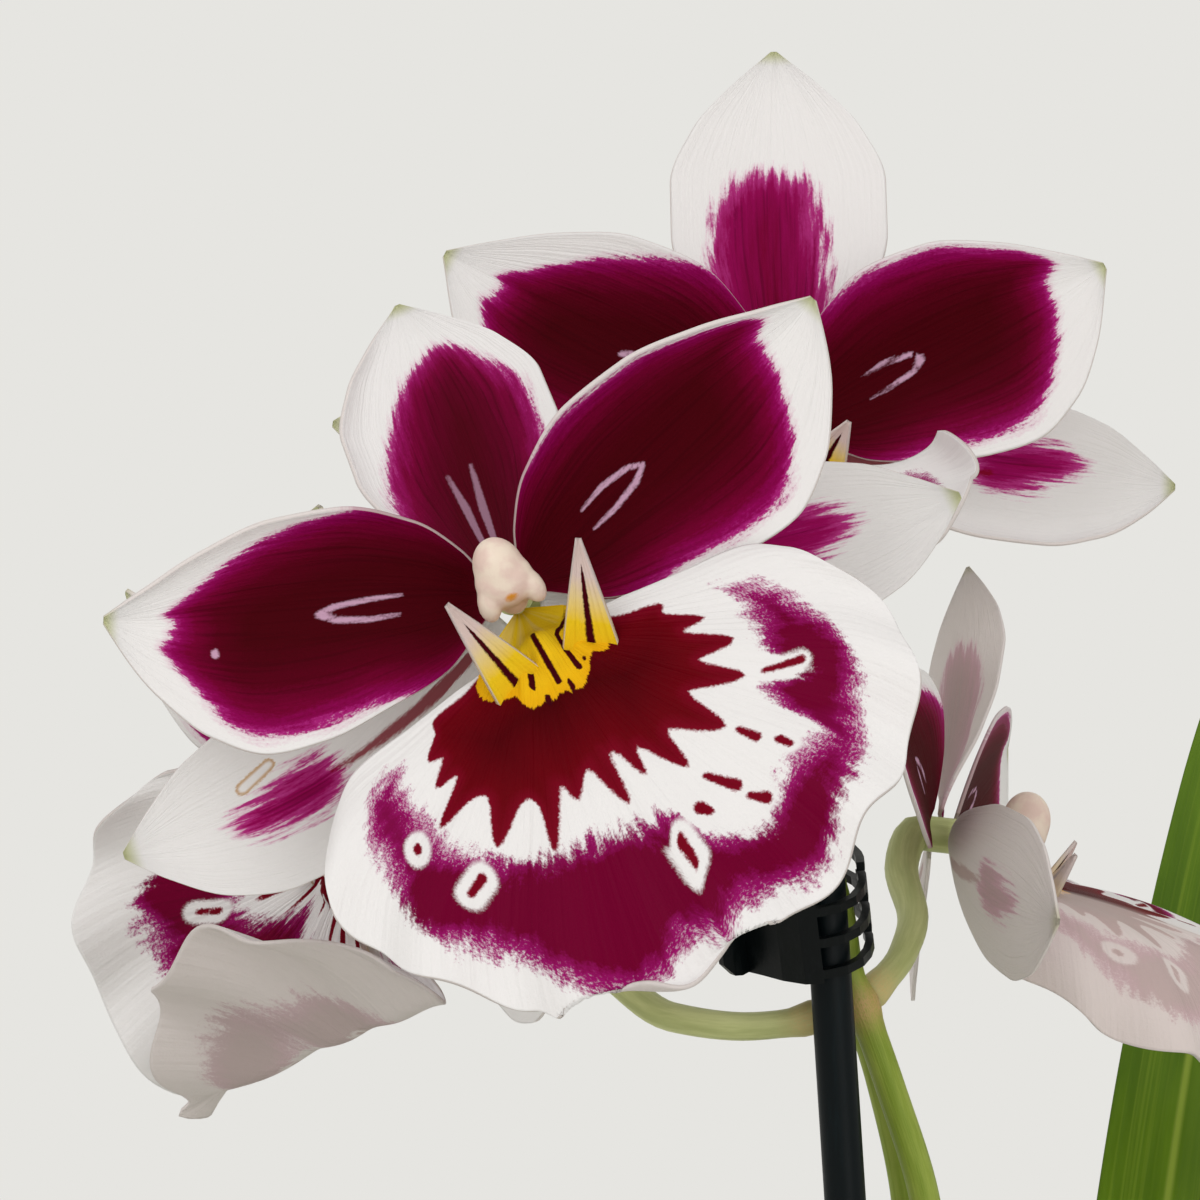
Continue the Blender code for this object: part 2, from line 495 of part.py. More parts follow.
def make_bark():
    """Bed of bark that fills the pot, with a plain hole for each thing that stands in it."""
    steps = 22
    lean = (POT_TOP_R - RIM_OUT - POT_BASE_R) / POT_HEIGHT
    top_r = POT_BASE_R + lean * BARK_LEVEL - POT_WALL - 0.9
    low_r = POT_BASE_R - POT_WALL - 0.6
    low = POT_FLOOR + GAP
    bm = bmesh.new()
    bmesh.ops.create_grid(bm, x_segments=steps, y_segments=steps, size=1)
    made = bmesh.ops.extrude_face_region(bm, geom=bm.faces[:])
    under = {item for item in made["geom"] if isinstance(item, bmesh.types.BMVert)}
    for vert in bm.verts:
        x, y = vert.co.x, vert.co.y
        reach, spin = max(abs(x), abs(y)), math.atan2(y, x)
        if vert in under:
            vert.co = Vector((low_r * reach * math.cos(spin), low_r * reach * math.sin(spin), low)) * MM
            continue
        px, py = top_r * reach * math.cos(spin), top_r * reach * math.sin(spin)
        rise = float(chip_height(np.array([px]), np.array([py]))[0]) * min(1, (1.02 - reach) * 9)
        vert.co = Vector((px, py, BARK_LEVEL + rise)) * MM
    flat = [face for face in bm.faces if all(vert in under for vert in face.verts)]
    bmesh.ops.dissolve_faces(bm, faces=flat, use_verts=True)
    bmesh.ops.recalc_face_normals(bm, faces=bm.faces[:])
    bmesh.ops.triangulate(bm, faces=bm.faces[:])
    bark = add_object("bark_bed", mesh_from(bm, "bark_bed"), "bark")
    lean = math.degrees(math.atan2(STAKE_TOP[0] - STAKE_FOOT[0], STAKE_TOP[2] - STAKE_FOOT[2]))
    holes = [("stake_hole", at_height(STAKE_FOOT, STAKE_TOP, BARK_LEVEL - 6), STAKE_R + 0.5, 60, lean),
             ("spike_1_hole", (12, 3, BARK_LEVEL - 6), 2.7, 56, 0), ("spike_2_hole", (6.5, 12, BARK_LEVEL - 6), 2.5, 56, 0)]
    for name, at, radius, deep, lean in holes:
        cut_later(bark, solid(name, cone(radius, radius, deep, 10), rigid(at, (0, lean, 0)), collection=CUTTERS))
    for k, (middle, turn) in enumerate(BULBS):
        size = [value + 0.8 for value in BULB_SIZE]
        cut_later(bark, solid(f"bulb_hole_{k + 1}", ball(12, 8), placed((*middle, BULB_MID), size, (0, 0, turn)),
                              collection=CUTTERS))
    return bark


def at_height(foot, top, z):
    t = (z - foot[2]) / (top[2] - foot[2])
    return tuple(a + (b - a) * t for a, b in zip(foot, top))


def make_bulbs_and_leaves():
    """Flattened pseudobulbs, each with one leaf on top and one against its outer side."""
    count = 0
    for k, (middle, turn) in enumerate(BULBS):
        bulb = solid(f"pseudobulb_{k + 1}", ball(12, 9), placed((*middle, BULB_MID), BULB_SIZE, (0, 0, turn)), "bulb")
        smooth(bulb, 80)
        foot, heading, length, half, pitch, sway = LEAVES[k]
        shape = dict(angle=heading, length=length, start=(0, 0), pitch=pitch, sway=sway, twist=STRAIGHT, cup=0, keel=16,
                     widths=(leaf_width(half),) * 2, rolls=(STRAIGHT, STRAIGHT))
        count += 1
        top = (foot[0], foot[1], BULB_MID + BULB_SIZE[2] + 0.8)
        smooth(blade(f"leaf_{count}", blade_points(shape, LEAF_ROWS, LEAF_COLS) + top, "leaf"))
        reach, half, pitch, sway = FLANK_LEAF
        shape = dict(shape, angle=turn, length=reach - 14 * k, pitch=pitch, sway=sway, widths=(leaf_width(half),) * 2)
        out, heading = BULB_SIZE[0] + BLADE / 2 + 0.4, math.radians(turn)
        at = (middle[0] + out * math.cos(heading), middle[1] + out * math.sin(heading), BULB_MID - 5.5)
        count += 1
        smooth(blade(f"leaf_{count}", blade_points(shape, LEAF_ROWS, LEAF_COLS) + at, "leaf"))


def leaf_width(half):
    return [(0, 3.4), (0.12, 4.6), (0.4, half), (0.7, half * 0.92), (0.9, half * 0.5), (1, 0.5)]


def make_stems():
    smooth(tube("stake", [STAKE_FOOT, at_height(STAKE_FOOT, STAKE_TOP, 180), STAKE_TOP], [STAKE_R] * 3, "stake"))
    tube("spike_1", SPIKE_1, [2.1, 2.1, 2.0, 1.9, 1.85, 1.75, 1.7, 1.65, 1.5], "spike")
    tube("spike_2", SPIKE_2, [1.9, 1.9, 1.8, 1.7, 1.6, 1.5, 1.35, 1.35, 1.3], "spike")


def jaw(name, sign, finger_rows):
    """Half of the claw clip: a lever, a neck round the hinge, and a curved wall that ends in fingers.
    sign is -1 for the front jaw and +1 for the rear one."""
    outline = np.array(CLIP_LEVER + CLIP_PLAN, float) * (1, sign)
    half = np.full(len(outline), CLIP_HEIGHT / 2)
    half[:2] = 3.6, 5.2
    points = np.stack([np.column_stack([outline, side * half]) for side in (-1, 1)])
    if sign > 0:
        points = points[:, ::-1]
    part = with_solid_walls(blade(name, points, "clip", CLIP_WALL))
    ends = [(-4.7, 1.6), (4.7, 1.6)] if sign > 0 else [(-2.7, 1.6), (2.7, 1.6)]
    clear = [(-2.7, 2.3), (2.7, 2.3), (0, 3.8)] if sign > 0 else [(-4.7, 2.3), (4.7, 2.3), (0, 3.8)]
    for z, tall in clear:
        apply_boolean(part, solid("room", cone(2.6, 2.6, tall, 12), rigid((CLIP_HINGE, 0, z))), "DIFFERENCE", "MANIFOLD")
    for z, tall in ends:
        apply_boolean(part, solid("knuckle", cone(2.1, 2.1, tall, 12), rigid((CLIP_HINGE, 0, z))), "UNION", "MANIFOLD")
    apply_boolean(part, solid("pin_room", cone(1.05, 1.05, 30, 12), rigid((CLIP_HINGE, 0, 0))), "DIFFERENCE", "MANIFOLD")
    edges = sorted(row * FINGER_STEP + side * FINGER / 2 for row in finger_rows for side in (-1, 1))
    bands = [(-CLIP_HEIGHT, edges[0])] + list(zip(edges[1:-1:2], edges[2::2])) + [(edges[-1], CLIP_HEIGHT)]
    for low, high in bands:
        at = (FINGER_START + 6, 0, (low + high) / 2)
        apply_boolean(part, solid("slot", box, placed(at, (12, 24, high - low))), "DIFFERENCE", "MANIFOLD")
    part.matrix_world = CLIP_MATRIX
    return smooth(part, 35)


def with_solid_walls(obj):
    """The object with its modifiers applied, keeping its material."""
    graph = bpy.context.evaluated_depsgraph_get()
    data = bpy.data.meshes.new_from_object(obj.evaluated_get(graph))
    obj.modifiers.clear()
    obj.data = data
    return obj


def make_clip():
    jaw("clip_jaw_rear", 1, (2.5, 0.5, -1.5))
    jaw("clip_jaw_front", -1, (1.5, -0.5, -2.5))
    pin = solid("clip_pin", cone(0.7, 0.7, CLIP_HEIGHT + 0.8, 8), rigid((CLIP_HINGE, 0, 0)), "metal")
    pin.matrix_world = CLIP_MATRIX
    turns, radius = 2.5, 1.5
    coil = [(CLIP_HINGE + radius * math.cos(a), radius * math.sin(a), -1.2 + 2.4 * a / (2 * math.pi * turns))
            for a in np.linspace(0, 2 * math.pi * turns, 26)]
    curve = bpy.data.curves.new("clip_spring", "CURVE")
    curve.dimensions = "3D"
    curve.bevel_depth = 0.3 * MM
    curve.bevel_resolution = 0
    curve.use_fill_caps = True
    spline = curve.splines.new("POLY")
    spline.points.add(len(coil) - 1)
    for point, place in zip(spline.points, coil):
        point.co = (*(Vector(place) * MM), 1)
    spring = add_object("clip_spring", curve, "metal")
    spring.matrix_world = CLIP_MATRIX


def make_column(name, matrix):
    """Short hooded column with an anther cap and two small side wings, joined into one body."""
    column = solid(name, cone(1.7, 2.5, 7.4, 8), rigid((0, 0.9, 4.2), (-10, 0, 0)), "column")
    hood = solid("hood", ball(10, 6), placed((0, 2.5, 7.6), (3.1, 3.6, 2.7)))
    apply_boolean(column, hood, "UNION")
    for side in (-1, 1):
        wing = solid("wing", ball(6, 4), placed((2.8 * side, 0.7, 6.9), (1.6, 2.2, 0.9), (0, 0, -28 * side)))
        apply_boolean(column, wing, "UNION")
    column.matrix_world = matrix
    return smooth(column, 50)


def make_lip(name, shape, rows, cols, matrix):
    """The lip's fan with its yellow crest and its two side horns, joined into one body."""
    points = lip_points(shape, rows, cols)
    lip = with_solid_walls(blade(name, points, "lip"))
    crest_at = in_lip_frame(shape, (0, 7.2, 1.5))
    crest = solid("crest", ball(8, 6), placed(crest_at, (2.9, 5.0, 1.9), (shape["tilt"], 0, 0)))
    apply_boolean(lip, crest, "UNION")
    for side in (-1, 1):
        root = points[1, round(cols * (0.5 + 0.27 * side))]
        tip = root + np.array([3.0 * side, 10.0 if shape["tilt"] < 50 else 5.0, 3.2])
        wide = np.array([1.8 * side, -1.0, 0.2])
        root = root - (tip - root) * 0.14
        steps = [(0, 0.9), (0.35, 1.1), (0.7, 0.8), (1, 0.2)]
        horn = np.stack([np.stack([root + (tip - root) * t + wide * half * across + (0, 0, 0.5 * abs(across))
                                   for across in (-1, 0, 1)]) for t, half in steps])
        if side < 0:
            horn = horn[:, ::-1]
        apply_boolean(lip, with_solid_walls(blade("horn", horn, "lip")), "UNION")
    lip.matrix_world = matrix
    return smooth(lip, 50)


def make_blooms():
    for name, shape in bloom_shapes().items():
        matrix = bloom_matrix(shape["place"], shape["turn"])
        near = name == "bloom_front"
        rows, cols = (FRONT_ROWS, FRONT_COLS) if near else (PETAL_ROWS, PETAL_COLS)
        for part in ("dorsal_sepal", "sepal_left", "sepal_right", "petal_left", "petal_right"):
            kind = "petal" if "petal_" in part else "sepal"
            made = blade(f"{name}_{part}", blade_points(shape[part], rows, cols), kind)
            made.matrix_world = matrix
            smooth(made, 60)
        make_lip(f"{name}_lip", shape["lip"], *((10, 20) if near else (8, 14)), matrix)
        make_column(f"{name}_column", matrix)
        knob = [matrix @ (Vector((0, 0, z)) * MM) / MM for z in ((-5, -2.6, -0.3) if name == "bloom_right" else (-12, -7, -3.6, -0.3))]
        stem = tube(f"{name}_pedicel", PEDICELS[name] + [tuple(point) for point in knob],
                    [1.5, 1.6, 1.7, 1.8, 1.9, 2.0, 2.1, 2.1], "pedicel")
        stem.data.use_fill_caps = True


for old in list(bpy.data.objects):
    bpy.data.objects.remove(old)
PLANT = new_collection("pansy_orchid")
CUTTERS = new_collection("cutters")
CUTTERS.hide_render = True
CLIP_MATRIX = (Matrix.Translation(Vector(CLIP_CENTRE) * MM)
               @ Matrix.Rotation(math.radians(CLIP_LEAN), 4, "Y")
               @ Matrix.Rotation(math.radians(CLIP_TILT), 4, "X"))

make_pot()
make_bark()
make_bulbs_and_leaves()
make_stems()
make_clip()
make_blooms()
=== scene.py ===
"""The pansy orchid's visible surfaces: petals and lips with their markings, stems, leaves, bark and pot.

Millimetres are used in the tables and turned into metres by MM. World axes: X to the right, Y away
from the front bloom's viewer, Z up. A petal, sepal or lip has its own two coordinates: t (rho on a
lip) runs from 0 at its base to 1 at its edge, and v from -1 to 1 across it.
"""

import math
import random

import bmesh
import bpy
import numpy as np
from mathutils import Matrix, Vector


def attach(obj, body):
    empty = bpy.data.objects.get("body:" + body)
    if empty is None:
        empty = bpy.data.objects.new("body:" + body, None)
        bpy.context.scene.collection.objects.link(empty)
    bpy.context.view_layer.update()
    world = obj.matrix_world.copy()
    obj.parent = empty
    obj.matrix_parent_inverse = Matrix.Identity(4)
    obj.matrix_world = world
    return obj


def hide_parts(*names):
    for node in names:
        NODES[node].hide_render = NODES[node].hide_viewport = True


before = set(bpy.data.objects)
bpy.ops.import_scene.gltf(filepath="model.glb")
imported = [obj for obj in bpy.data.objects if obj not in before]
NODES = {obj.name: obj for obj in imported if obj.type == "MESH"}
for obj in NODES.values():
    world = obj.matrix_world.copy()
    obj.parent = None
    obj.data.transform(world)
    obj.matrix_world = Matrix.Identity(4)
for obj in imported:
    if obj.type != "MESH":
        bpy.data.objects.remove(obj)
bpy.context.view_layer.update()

MM = 0.001
PLANT_BODY = "plant"

# Camera and light
CAMERA_AT = (-0.035, -0.488, 0.330)
LENS = 135
BACKGROUND = (230, 229, 225)
FLOOR_R = 1.9
# Area lights: name, place, size, power, what they point at
LIGHTS = [
    ("key_light", (-0.9, -1.1, 1.5), 0.9, 9.5, (-0.02, 0, 0.3)),
    ("fill_light", (0.7, -1.4, 0.6), 1.0, 5.0, (0, 0, 0.3)),
]

# Mesh steps: rows along a blade, columns across it
FRONT_TEPAL, TEPAL = (96, 72), (54, 44)
FRONT_LIP, LIP = (150, 260), (84, 130)
TISSUE = 0.45
# Rows and columns of the solids' own lips, and the share of a lip's width at which its ears stand
SOLID_FRONT_LIP, SOLID_LIP = (10, 20), (8, 14)
EAR_AT = 0.27
# Petals and sepals: where they start, how far back the lateral sepals are, where their margins start to
# roll, how wide the keel's fold is, how close the columns are at the margins, and the half width in
# millimetres that v of 1 stands for in their markings
BLADE_FROM, LATERAL_DEPTH = 2.65, -3.6
ROLL_FROM, KEEL_FOLD, CROWDED, MARKED_HALF = 0.66, 0.15, 1.18, 11.0
# Power that draws a lip's rows together at its edge, and the share of light that passes through tissue
ROW_POWER = 0.85
LIGHT_THROUGH = 0.2
# Stems: how much a joint swells, and how far their rings stay inside the solids
SWELL = 0.3
STEM_TRIM = 0.98

# Pot and bark
POT_TOP_R, POT_BASE_R, POT_HEIGHT, POT_WALL = 60.0, 43.0, 116.0, 2.0
POT_FLOOR = 3.0
RIM_OUT = 2.6
BARK_LEVEL = 104.0
BARK_CHIPS, CHIPS_REACH, GOLDEN_ANGLE = 46, 56, 2.39996
# Bark bed's gaps to the pot: at its top, at its foot and to the pot's floor
BARK_GAPS = (0.9, 0.6, 0.35)

# Stake
STAKE_R = 2.3
STAKE_FOOT = (4.0, -2.4, 70.0)
STAKE_TOP = (-10.93, -2.4, 302.4)

TIP = 0.35
PETAL_UP = [(0, 2.1), (0.06, 5.0), (0.18, 8.4), (0.38, 10.6), (0.56, 9.9), (0.74, 7.0), (0.9, 3.1),
            (1, TIP)]
PETAL_LOW = [(0, 2.1), (0.12, 7.4), (0.28, 10.6), (0.45, 13.4), (0.6, 14.4), (0.75, 12.2), (0.87, 7.8),
             (1, TIP)]
DORSAL = [(0, 2.1), (0.1, 5.8), (0.3, 9.5), (0.48, 11.6), (0.62, 11.6), (0.78, 9.0), (0.9, 4.8), (1, TIP)]
LATERAL = [(0, 1.9), (0.1, 4.0), (0.3, 6.6), (0.5, 8.4), (0.66, 8.6), (0.8, 7.0), (0.92, 3.5), (1, TIP)]
LIP_SIDE = [(0, 49.5), (0.12, 50.0), (0.28, 49.0), (0.48, 46.8), (0.6, 44.6), (0.72, 41.3), (0.84, 36.5),
            (0.95, 31.0), (1, 28.0)]
STRAIGHT = [(0, 0), (1, 0)]
STRAIGHT_ON = [(0, 0), (1, 1)]
THROAT = 4.5
LIP_REACH = 46.0
INNER_ROWS = 4


def scaled(points, factor):
    """A curve's points with their values multiplied."""
    return [(t, value * factor) for t, value in points]


def tepal(angle, length, depth, pitch, sway=STRAIGHT, widths=(PETAL_LOW, PETAL_UP),
          rolls=(STRAIGHT, STRAIGHT), twist=STRAIGHT, cup=12, keel=5):
    """One petal or sepal: its direction round the bloom, its length, how far behind the face it starts,
    and how its midrib rises out of the face and swings sideways. Widths and rolls are for its clockwise
    and its anticlockwise side."""
    return dict(angle=angle, length=length, start=(BLADE_FROM, depth), pitch=pitch, sway=sway, widths=widths,
                rolls=rolls, twist=twist, cup=cup, keel=keel)


def lateral(angle, length, pitch, sway=STRAIGHT, broader=(1, 1), rolls=(STRAIGHT, STRAIGHT)):
    """A lateral sepal. Its two sides are broader by these factors than the usual one's."""
    widths = [scaled(LATERAL, factor) for factor in broader]
    return tepal(angle, length, LATERAL_DEPTH, pitch, sway, widths, rolls, cup=6)


def bloom_shapes():
    """Every bloom's place, turn (yaw, pitch, roll in degrees), tepals and lip, as its solids have them.
    drawn_in moves a lip's markings towards its throat, and a lip is veiled in its back's pale tone where
    v is below veil."""
    hood = [(0, 10), (0.5, 45), (0.85, 50), (1, 0)]
    front = dict(
        place=(-43.8, -36, 330.5), turn=(0, 0, 24),
        dorsal_sepal=tepal(88.5, 40.5, -2.4, [(0, -58), (0.3, -48), (0.6, -34), (1, -22)],
                           widths=(DORSAL, DORSAL), rolls=(STRAIGHT, hood)),
        sepal_right=lateral(-13, 44.5, [(0, -10), (0.5, -5), (1, 2)], [(0, -5), (0.4, -2), (1, 14)],
                            (0.92, 1)),
        sepal_left=lateral(196, 46.5, [(0, -10), (0.5, -5), (1, 2)],
                           [(0, 10), (0.35, 3), (0.6, -12), (0.8, -21), (1, -24)], (1.07, 1.03)),
        petal_right=tepal(20, 40, -1.2, [(0, 5), (0.5, 14), (1, 6)], [(0, 0), (0.8, 0), (1, 6)],
                          rolls=(STRAIGHT, hood)),
        petal_left=tepal(160, 38.5, -1.2, [(0, 5), (0.5, 12), (1, 6)], [(0, 0), (0.8, 0), (1, -6)],
                         (PETAL_UP, PETAL_LOW), (hood, STRAIGHT)),
        lip=dict(sides=([(0, 48.5), (0.08, 51), (0.17, 54), (0.27, 51.5), (0.36, 46), (0.52, 43.6),
                         (0.65, 41.1), (0.75, 39.4), (0.86, 36.2), (1, 28)],
                        [(0, 49.5), (0.12, 48.6), (0.28, 47.2), (0.48, 45.4), (0.6, 44.0), (0.72, 41.0),
                         (0.84, 36.5), (0.95, 31.0), (1, 28.0)]),
                 tilt=35, turn=7, slope=[(0, 20), (0.25, 4), (0.7, 0), (1, -8)],
                 margin=[(-1, 4), (0, 0), (1, 4)], margin_from=0.7, bends=[(-8.3, 46.0, 98, 2.8, 145)]),
    )
    back = dict(
        place=(-13.8, 27, 349.2), turn=(0, 4, 0),
        dorsal_sepal=tepal(91, 44, -2.6, [(0, -14), (1, -6)], widths=(scaled(DORSAL, 1.1),) * 2),
        sepal_right=lateral(-7, 43.5, [(0, -10), (1, 0)], [(0, -6), (1, 6)],
                            rolls=([(0, 0), (0.35, 50), (0.75, 65), (1, 0)], STRAIGHT)),
        sepal_left=lateral(178, 50, [(0, -10), (1, 0)], [(0, 6), (1, -6)]),
        petal_right=tepal(27, 38.5, -1.2, [(0, 5), (0.5, 12), (1, 4)],
                          widths=(PETAL_LOW, scaled(PETAL_UP, 1.2))),
        petal_left=tepal(153, 41.5, -1.2, [(0, 5), (0.5, 12), (1, 4)],
                         widths=(scaled(PETAL_UP, 1.2), PETAL_LOW)),
        lip=dict(sides=(scaled(LIP_SIDE, 0.84),) * 2, tilt=62, turn=-4, foot=(-1.8, 0.6),
                 slope=[(0, 15), (0.25, 4), (1, -6)],
                 margin=[(-1, 70), (-0.45, 20), (0, 0), (0.45, 20), (1, 70)], margin_from=0.3, spread=0.82),
    )
    left = dict(
        place=(-60.1, 11, 305.6), turn=(-60.4, -32.6, -44.3),
        dorsal_sepal=tepal(110, 38, -2.6, [(0, -2), (0.5, -6), (1, -6)], widths=(DORSAL, DORSAL)),
        sepal_right=lateral(-3, 35, [(0, -10), (0.5, -14), (1, -16)]),
        sepal_left=lateral(200, 42, [(0, 0), (0.5, 4), (1, 6)]),
        petal_right=tepal(26, 38, -1.2, [(0, 5), (0.5, 12), (1, 6)]),
        petal_left=tepal(170, 37, -1.2, [(0, 4), (0.5, 8), (1, 4)], widths=(PETAL_UP, PETAL_LOW)),
        lip=dict(sides=(scaled(LIP_SIDE, 0.99), [(t, r * (1 + 0.31 * t)) for t, r in LIP_SIDE]), tilt=24.7,
                 turn=0, slope=[(0, 20), (0.25, 4), (0.7, 0), (1, -16)], foot=(-0.4, 1.0),
                 drawn_in=[(0, 0.1), (0.15, 0.5), (0.4, 0.62), (0.85, 0.93), (1, 1.05)],
                 margin=[(-1, 49), (-0.5, 49), (0, 0), (1, 0)], margin_from=0.5,
                 bends=[(15.8, 10.2, 33, 4.6, 147)]),
    )
    right = dict(
        place=(6.5, 30, 302.7), turn=(84, -6, 2),
        dorsal_sepal=tepal(60, 32.5, -2.7, [(0, 0), (1, 0)], widths=(scaled(DORSAL, 0.62),) * 2,
                           twist=[(0, 0), (0.3, 30), (1, 42)]),
        sepal_right=lateral(-29, 40, [(0, -6), (0.5, -2), (1, 4)]),
        sepal_left=tepal(186, 40, -1.1, [(0, 6), (0.5, 20), (1, 30)],
                         widths=(LATERAL, scaled(LATERAL, 1.15)), cup=14),
        petal_right=tepal(12, 37, -1.0, [(0, 5), (0.5, 9), (1, 5)]),
        petal_left=tepal(143, 31, -3.8, [(0, -4), (0.5, -14), (1, -20)],
                         widths=(scaled(PETAL_UP, 0.85),) * 2),
        lip=dict(sides=(scaled(LIP_SIDE, 0.9),) * 2, tilt=76, turn=0,
                 slope=[(0, 10), (0.25, 4), (0.7, -5), (1, -13)],
                 foot=(-3.4, 0.6), veil=0.3, margin=[(-1, -75), (-0.4, -50), (0, 0), (1, 0)],
                 margin_from=0.4),
    )
    return dict(bloom_front=front, bloom_back=back, bloom_left=left, bloom_right=right)


# Strap leaves: foot, compass direction, length, half width, elevation along it, swing along it
LEAVES = [
    ((20.5, 24.6, 143.5), 78, 258, 8.8, [(0, 70), (0.4, 64), (1, 52)], [(0, 0), (0.5, -12), (1, -30)]),
    ((-15.0, 20.0, 142.5), 130, 205, 9.5, [(0, 72), (0.3, 40), (0.6, 0), (1, -36)], [(0, 0), (1, 12)]),
    ((33.0, -14.0, 141.5), -40, 200, 9.0, [(0, 72), (0.35, 44), (0.7, 0), (1, -38)], [(0, 0), (1, -14)]),
]
FLANK_LEAF = (228, 9.0, [(0, 87), (0.3, 60), (0.7, 10), (1, -30)], [(0, 0), (1, -10)])
BULBS = [((20.5, 24.5), 10), ((-15.0, 20.0), 205), ((33.0, -13.5), 245)]
BULB_SIZE = (13.0, 6.6, 25.0)
BULB_MID = 116.0
LEAF_THICK = 0.8
# A leaf's gap to its pseudobulb, above it and beside it, how far below its middle a flank leaf starts,
# and how much shorter each next flank leaf is
LEAF_ABOVE, LEAF_BESIDE, FLANK_BELOW, FLANK_SHORTER = 0.8, 0.4, 5.5, 14

SPIKE_1 = [(12, 3, 84), (12, 3, 112), (10.5, 2.4, 160), (7, 1.8, 210), (2.6, 1.5, 250), (0.3, 1.6, 265),
           (-3.4, 1.7, 277), (-6.4, 1.7, 285.5), (-7.9, 1.6, 289.5), (-8.8, 1.7, 295.5), (-10.2, 2.1, 301),
           (-11.3, 1.2, 307), (-12.5, -1.2, 312.5), (-14.6, -4.2, 318)]
SPIKE_2 = [(6.5, 12, 84), (6.5, 12, 112), (5.2, 11, 160), (3, 9.5, 210), (0, 8.6, 245), (-1.6, 8.2, 264),
           (-4.4, 7.2, 277), (-7.2, 5.9, 285.5), (-9.8, 4.6, 291), (-11.9, 4.1, 296), (-12.9, 4.1, 302),
           (-13.4, 4.5, 307), (-13.4, 7.5, 312), (-12.6, 12.5, 316)]
PEDICELS = dict(
    bloom_front=[(-14.9, -4.9, 318.7), (-19, -9.5, 320.6), (-28, -17, 323.5), (-37, -23.5, 327.4)],
    bloom_back=[(-12.5, 13.0, 316.4), (-11.4, 21, 320), (-11, 30, 325), (-12.6, 38, 336)],
    bloom_left=[(-9.3, 2.9, 285.4), (-14, 4, 283.8), (-20, 6, 283.2), (-27, 10.5, 283.8), (-33, 16, 287.5),
                (-41, 21.5, 297)],
    bloom_right=[(-5.8, 7.3, 286.0), (-1.4, 12, 290.6), (0.2, 18.5, 294.6), (-0.6, 25.5, 299)],
)

# Dark zone of each kind of petal and sepal, as (v, t), with how deep its colour is and how far its
# edge feathers out in millimetres
PETAL_ZONE = [(-1.2, -0.1), (-1.0, 0.2), (-0.86, 0.35), (-0.82, 0.6), (-0.65, 0.72), (-0.3, 0.8),
              (0, 0.82), (0.3, 0.83), (0.6, 0.87), (0.82, 0.84), (0.9, 0.7), (0.93, 0.5), (0.96, 0.3),
              (1.1, 0.1), (1.2, -0.1)]
LEFT_PETAL_ZONE = [(-1.2, -0.1), (-1.1, 0.2), (-0.96, 0.38), (-0.85, 0.5), (-0.6, 0.68), (-0.35, 0.78),
                   (-0.1, 0.84), (0.08, 0.815), (0.35, 0.85), (0.62, 0.78), (0.8, 0.71), (0.87, 0.62),
                   (0.88, 0.45), (0.9, 0.3), (1.05, 0.15), (1.2, -0.1)]
DORSAL_ZONE = [(-1.2, -0.1), (-0.95, 0.2), (-0.82, 0.4), (-0.8, 0.6), (-0.72, 0.68), (-0.55, 0.8),
               (-0.3, 0.84), (0.1, 0.8), (0.3, 0.75), (0.5, 0.62), (0.7, 0.45), (0.85, 0.3), (1.05, 0.1),
               (1.2, -0.1)]
BACK_DORSAL_ZONE = [(-1.0, -0.1), (-0.7, 0.15), (-0.5, 0.35), (-0.4, 0.5), (-0.3, 0.62), (0.1, 0.67),
                    (0.5, 0.6), (0.66, 0.45), (0.72, 0.3), (0.9, 0.1), (1.0, -0.1)]
LATERAL_ZONE = [(-0.22, 0.5), (-0.2, 0.62), (0.0, 0.75), (0.2, 0.72), (0.34, 0.62), (0.28, 0.52),
                (0.05, 0.47)]
RIGHT_LATERAL_ZONE = [(-0.2, 0.48), (-0.18, 0.6), (0.0, 0.7), (0.25, 0.76), (0.46, 0.68), (0.5, 0.56),
                      (0.2, 0.45)]
HAIRPIN = [(-0.1, 0.2, 0.2), (-0.09, 0.27, 0.3), (-0.04, 0.36, 0.3), (0.03, 0.405, 0.25),
           (0.11, 0.37, 0.3), (0.16, 0.29, 0.34), (0.15, 0.21, 0.2)]
LEFT_HAIRPIN = [(-0.09, 0.22, 0.2), (-0.06, 0.3, 0.3), (-0.01, 0.4, 0.3), (0.05, 0.45, 0.22),
                (0.1, 0.4, 0.3), (0.13, 0.31, 0.3), (0.12, 0.23, 0.2)]
STREAKS = [[(-0.05, 0.1, 0.5), (-0.05, 0.28, 0.55), (-0.08, 0.45, 0.2)],
           [(0.13, 0.1, 0.45), (0.13, 0.3, 0.5), (0.16, 0.44, 0.2)]]
STRIPE = [(0.0, 0.5, 0.5), (0.12, 0.32, 1.1), (0.3, 0.12, 1.5)]
RIGHT_STRIPE = [(0.0, 0.5, 0.5), (-0.16, 0.3, 1.1), (-0.3, 0.12, 1.5)]
MARKS = dict(
    dorsal_sepal=dict(zone=DORSAL_ZONE, deep=0.9, feather=1.5, pale=STREAKS),
    petal_left=dict(zone=LEFT_PETAL_ZONE, deep=1.0, feather=1.0, pale=[LEFT_HAIRPIN]),
    petal_right=dict(zone=PETAL_ZONE, deep=1.0, feather=1.0, pale=[HAIRPIN]),
    sepal_left=dict(zone=LATERAL_ZONE, deep=0.0, feather=3.6, stripe=[STRIPE]),
    sepal_right=dict(zone=RIGHT_LATERAL_ZONE, deep=0.0, feather=3.6, stripe=[RIGHT_STRIPE]),
)
OTHER_DORSAL = dict(MARKS["dorsal_sepal"], zone=BACK_DORSAL_ZONE, deep=0.35, feather=3.0, pale=[])
BLEMISH = [(-0.42, 0.62, 0.7), (-0.3, 0.7, 0.8)]
SPECK = [(0.3, 0.72, 0.45)]

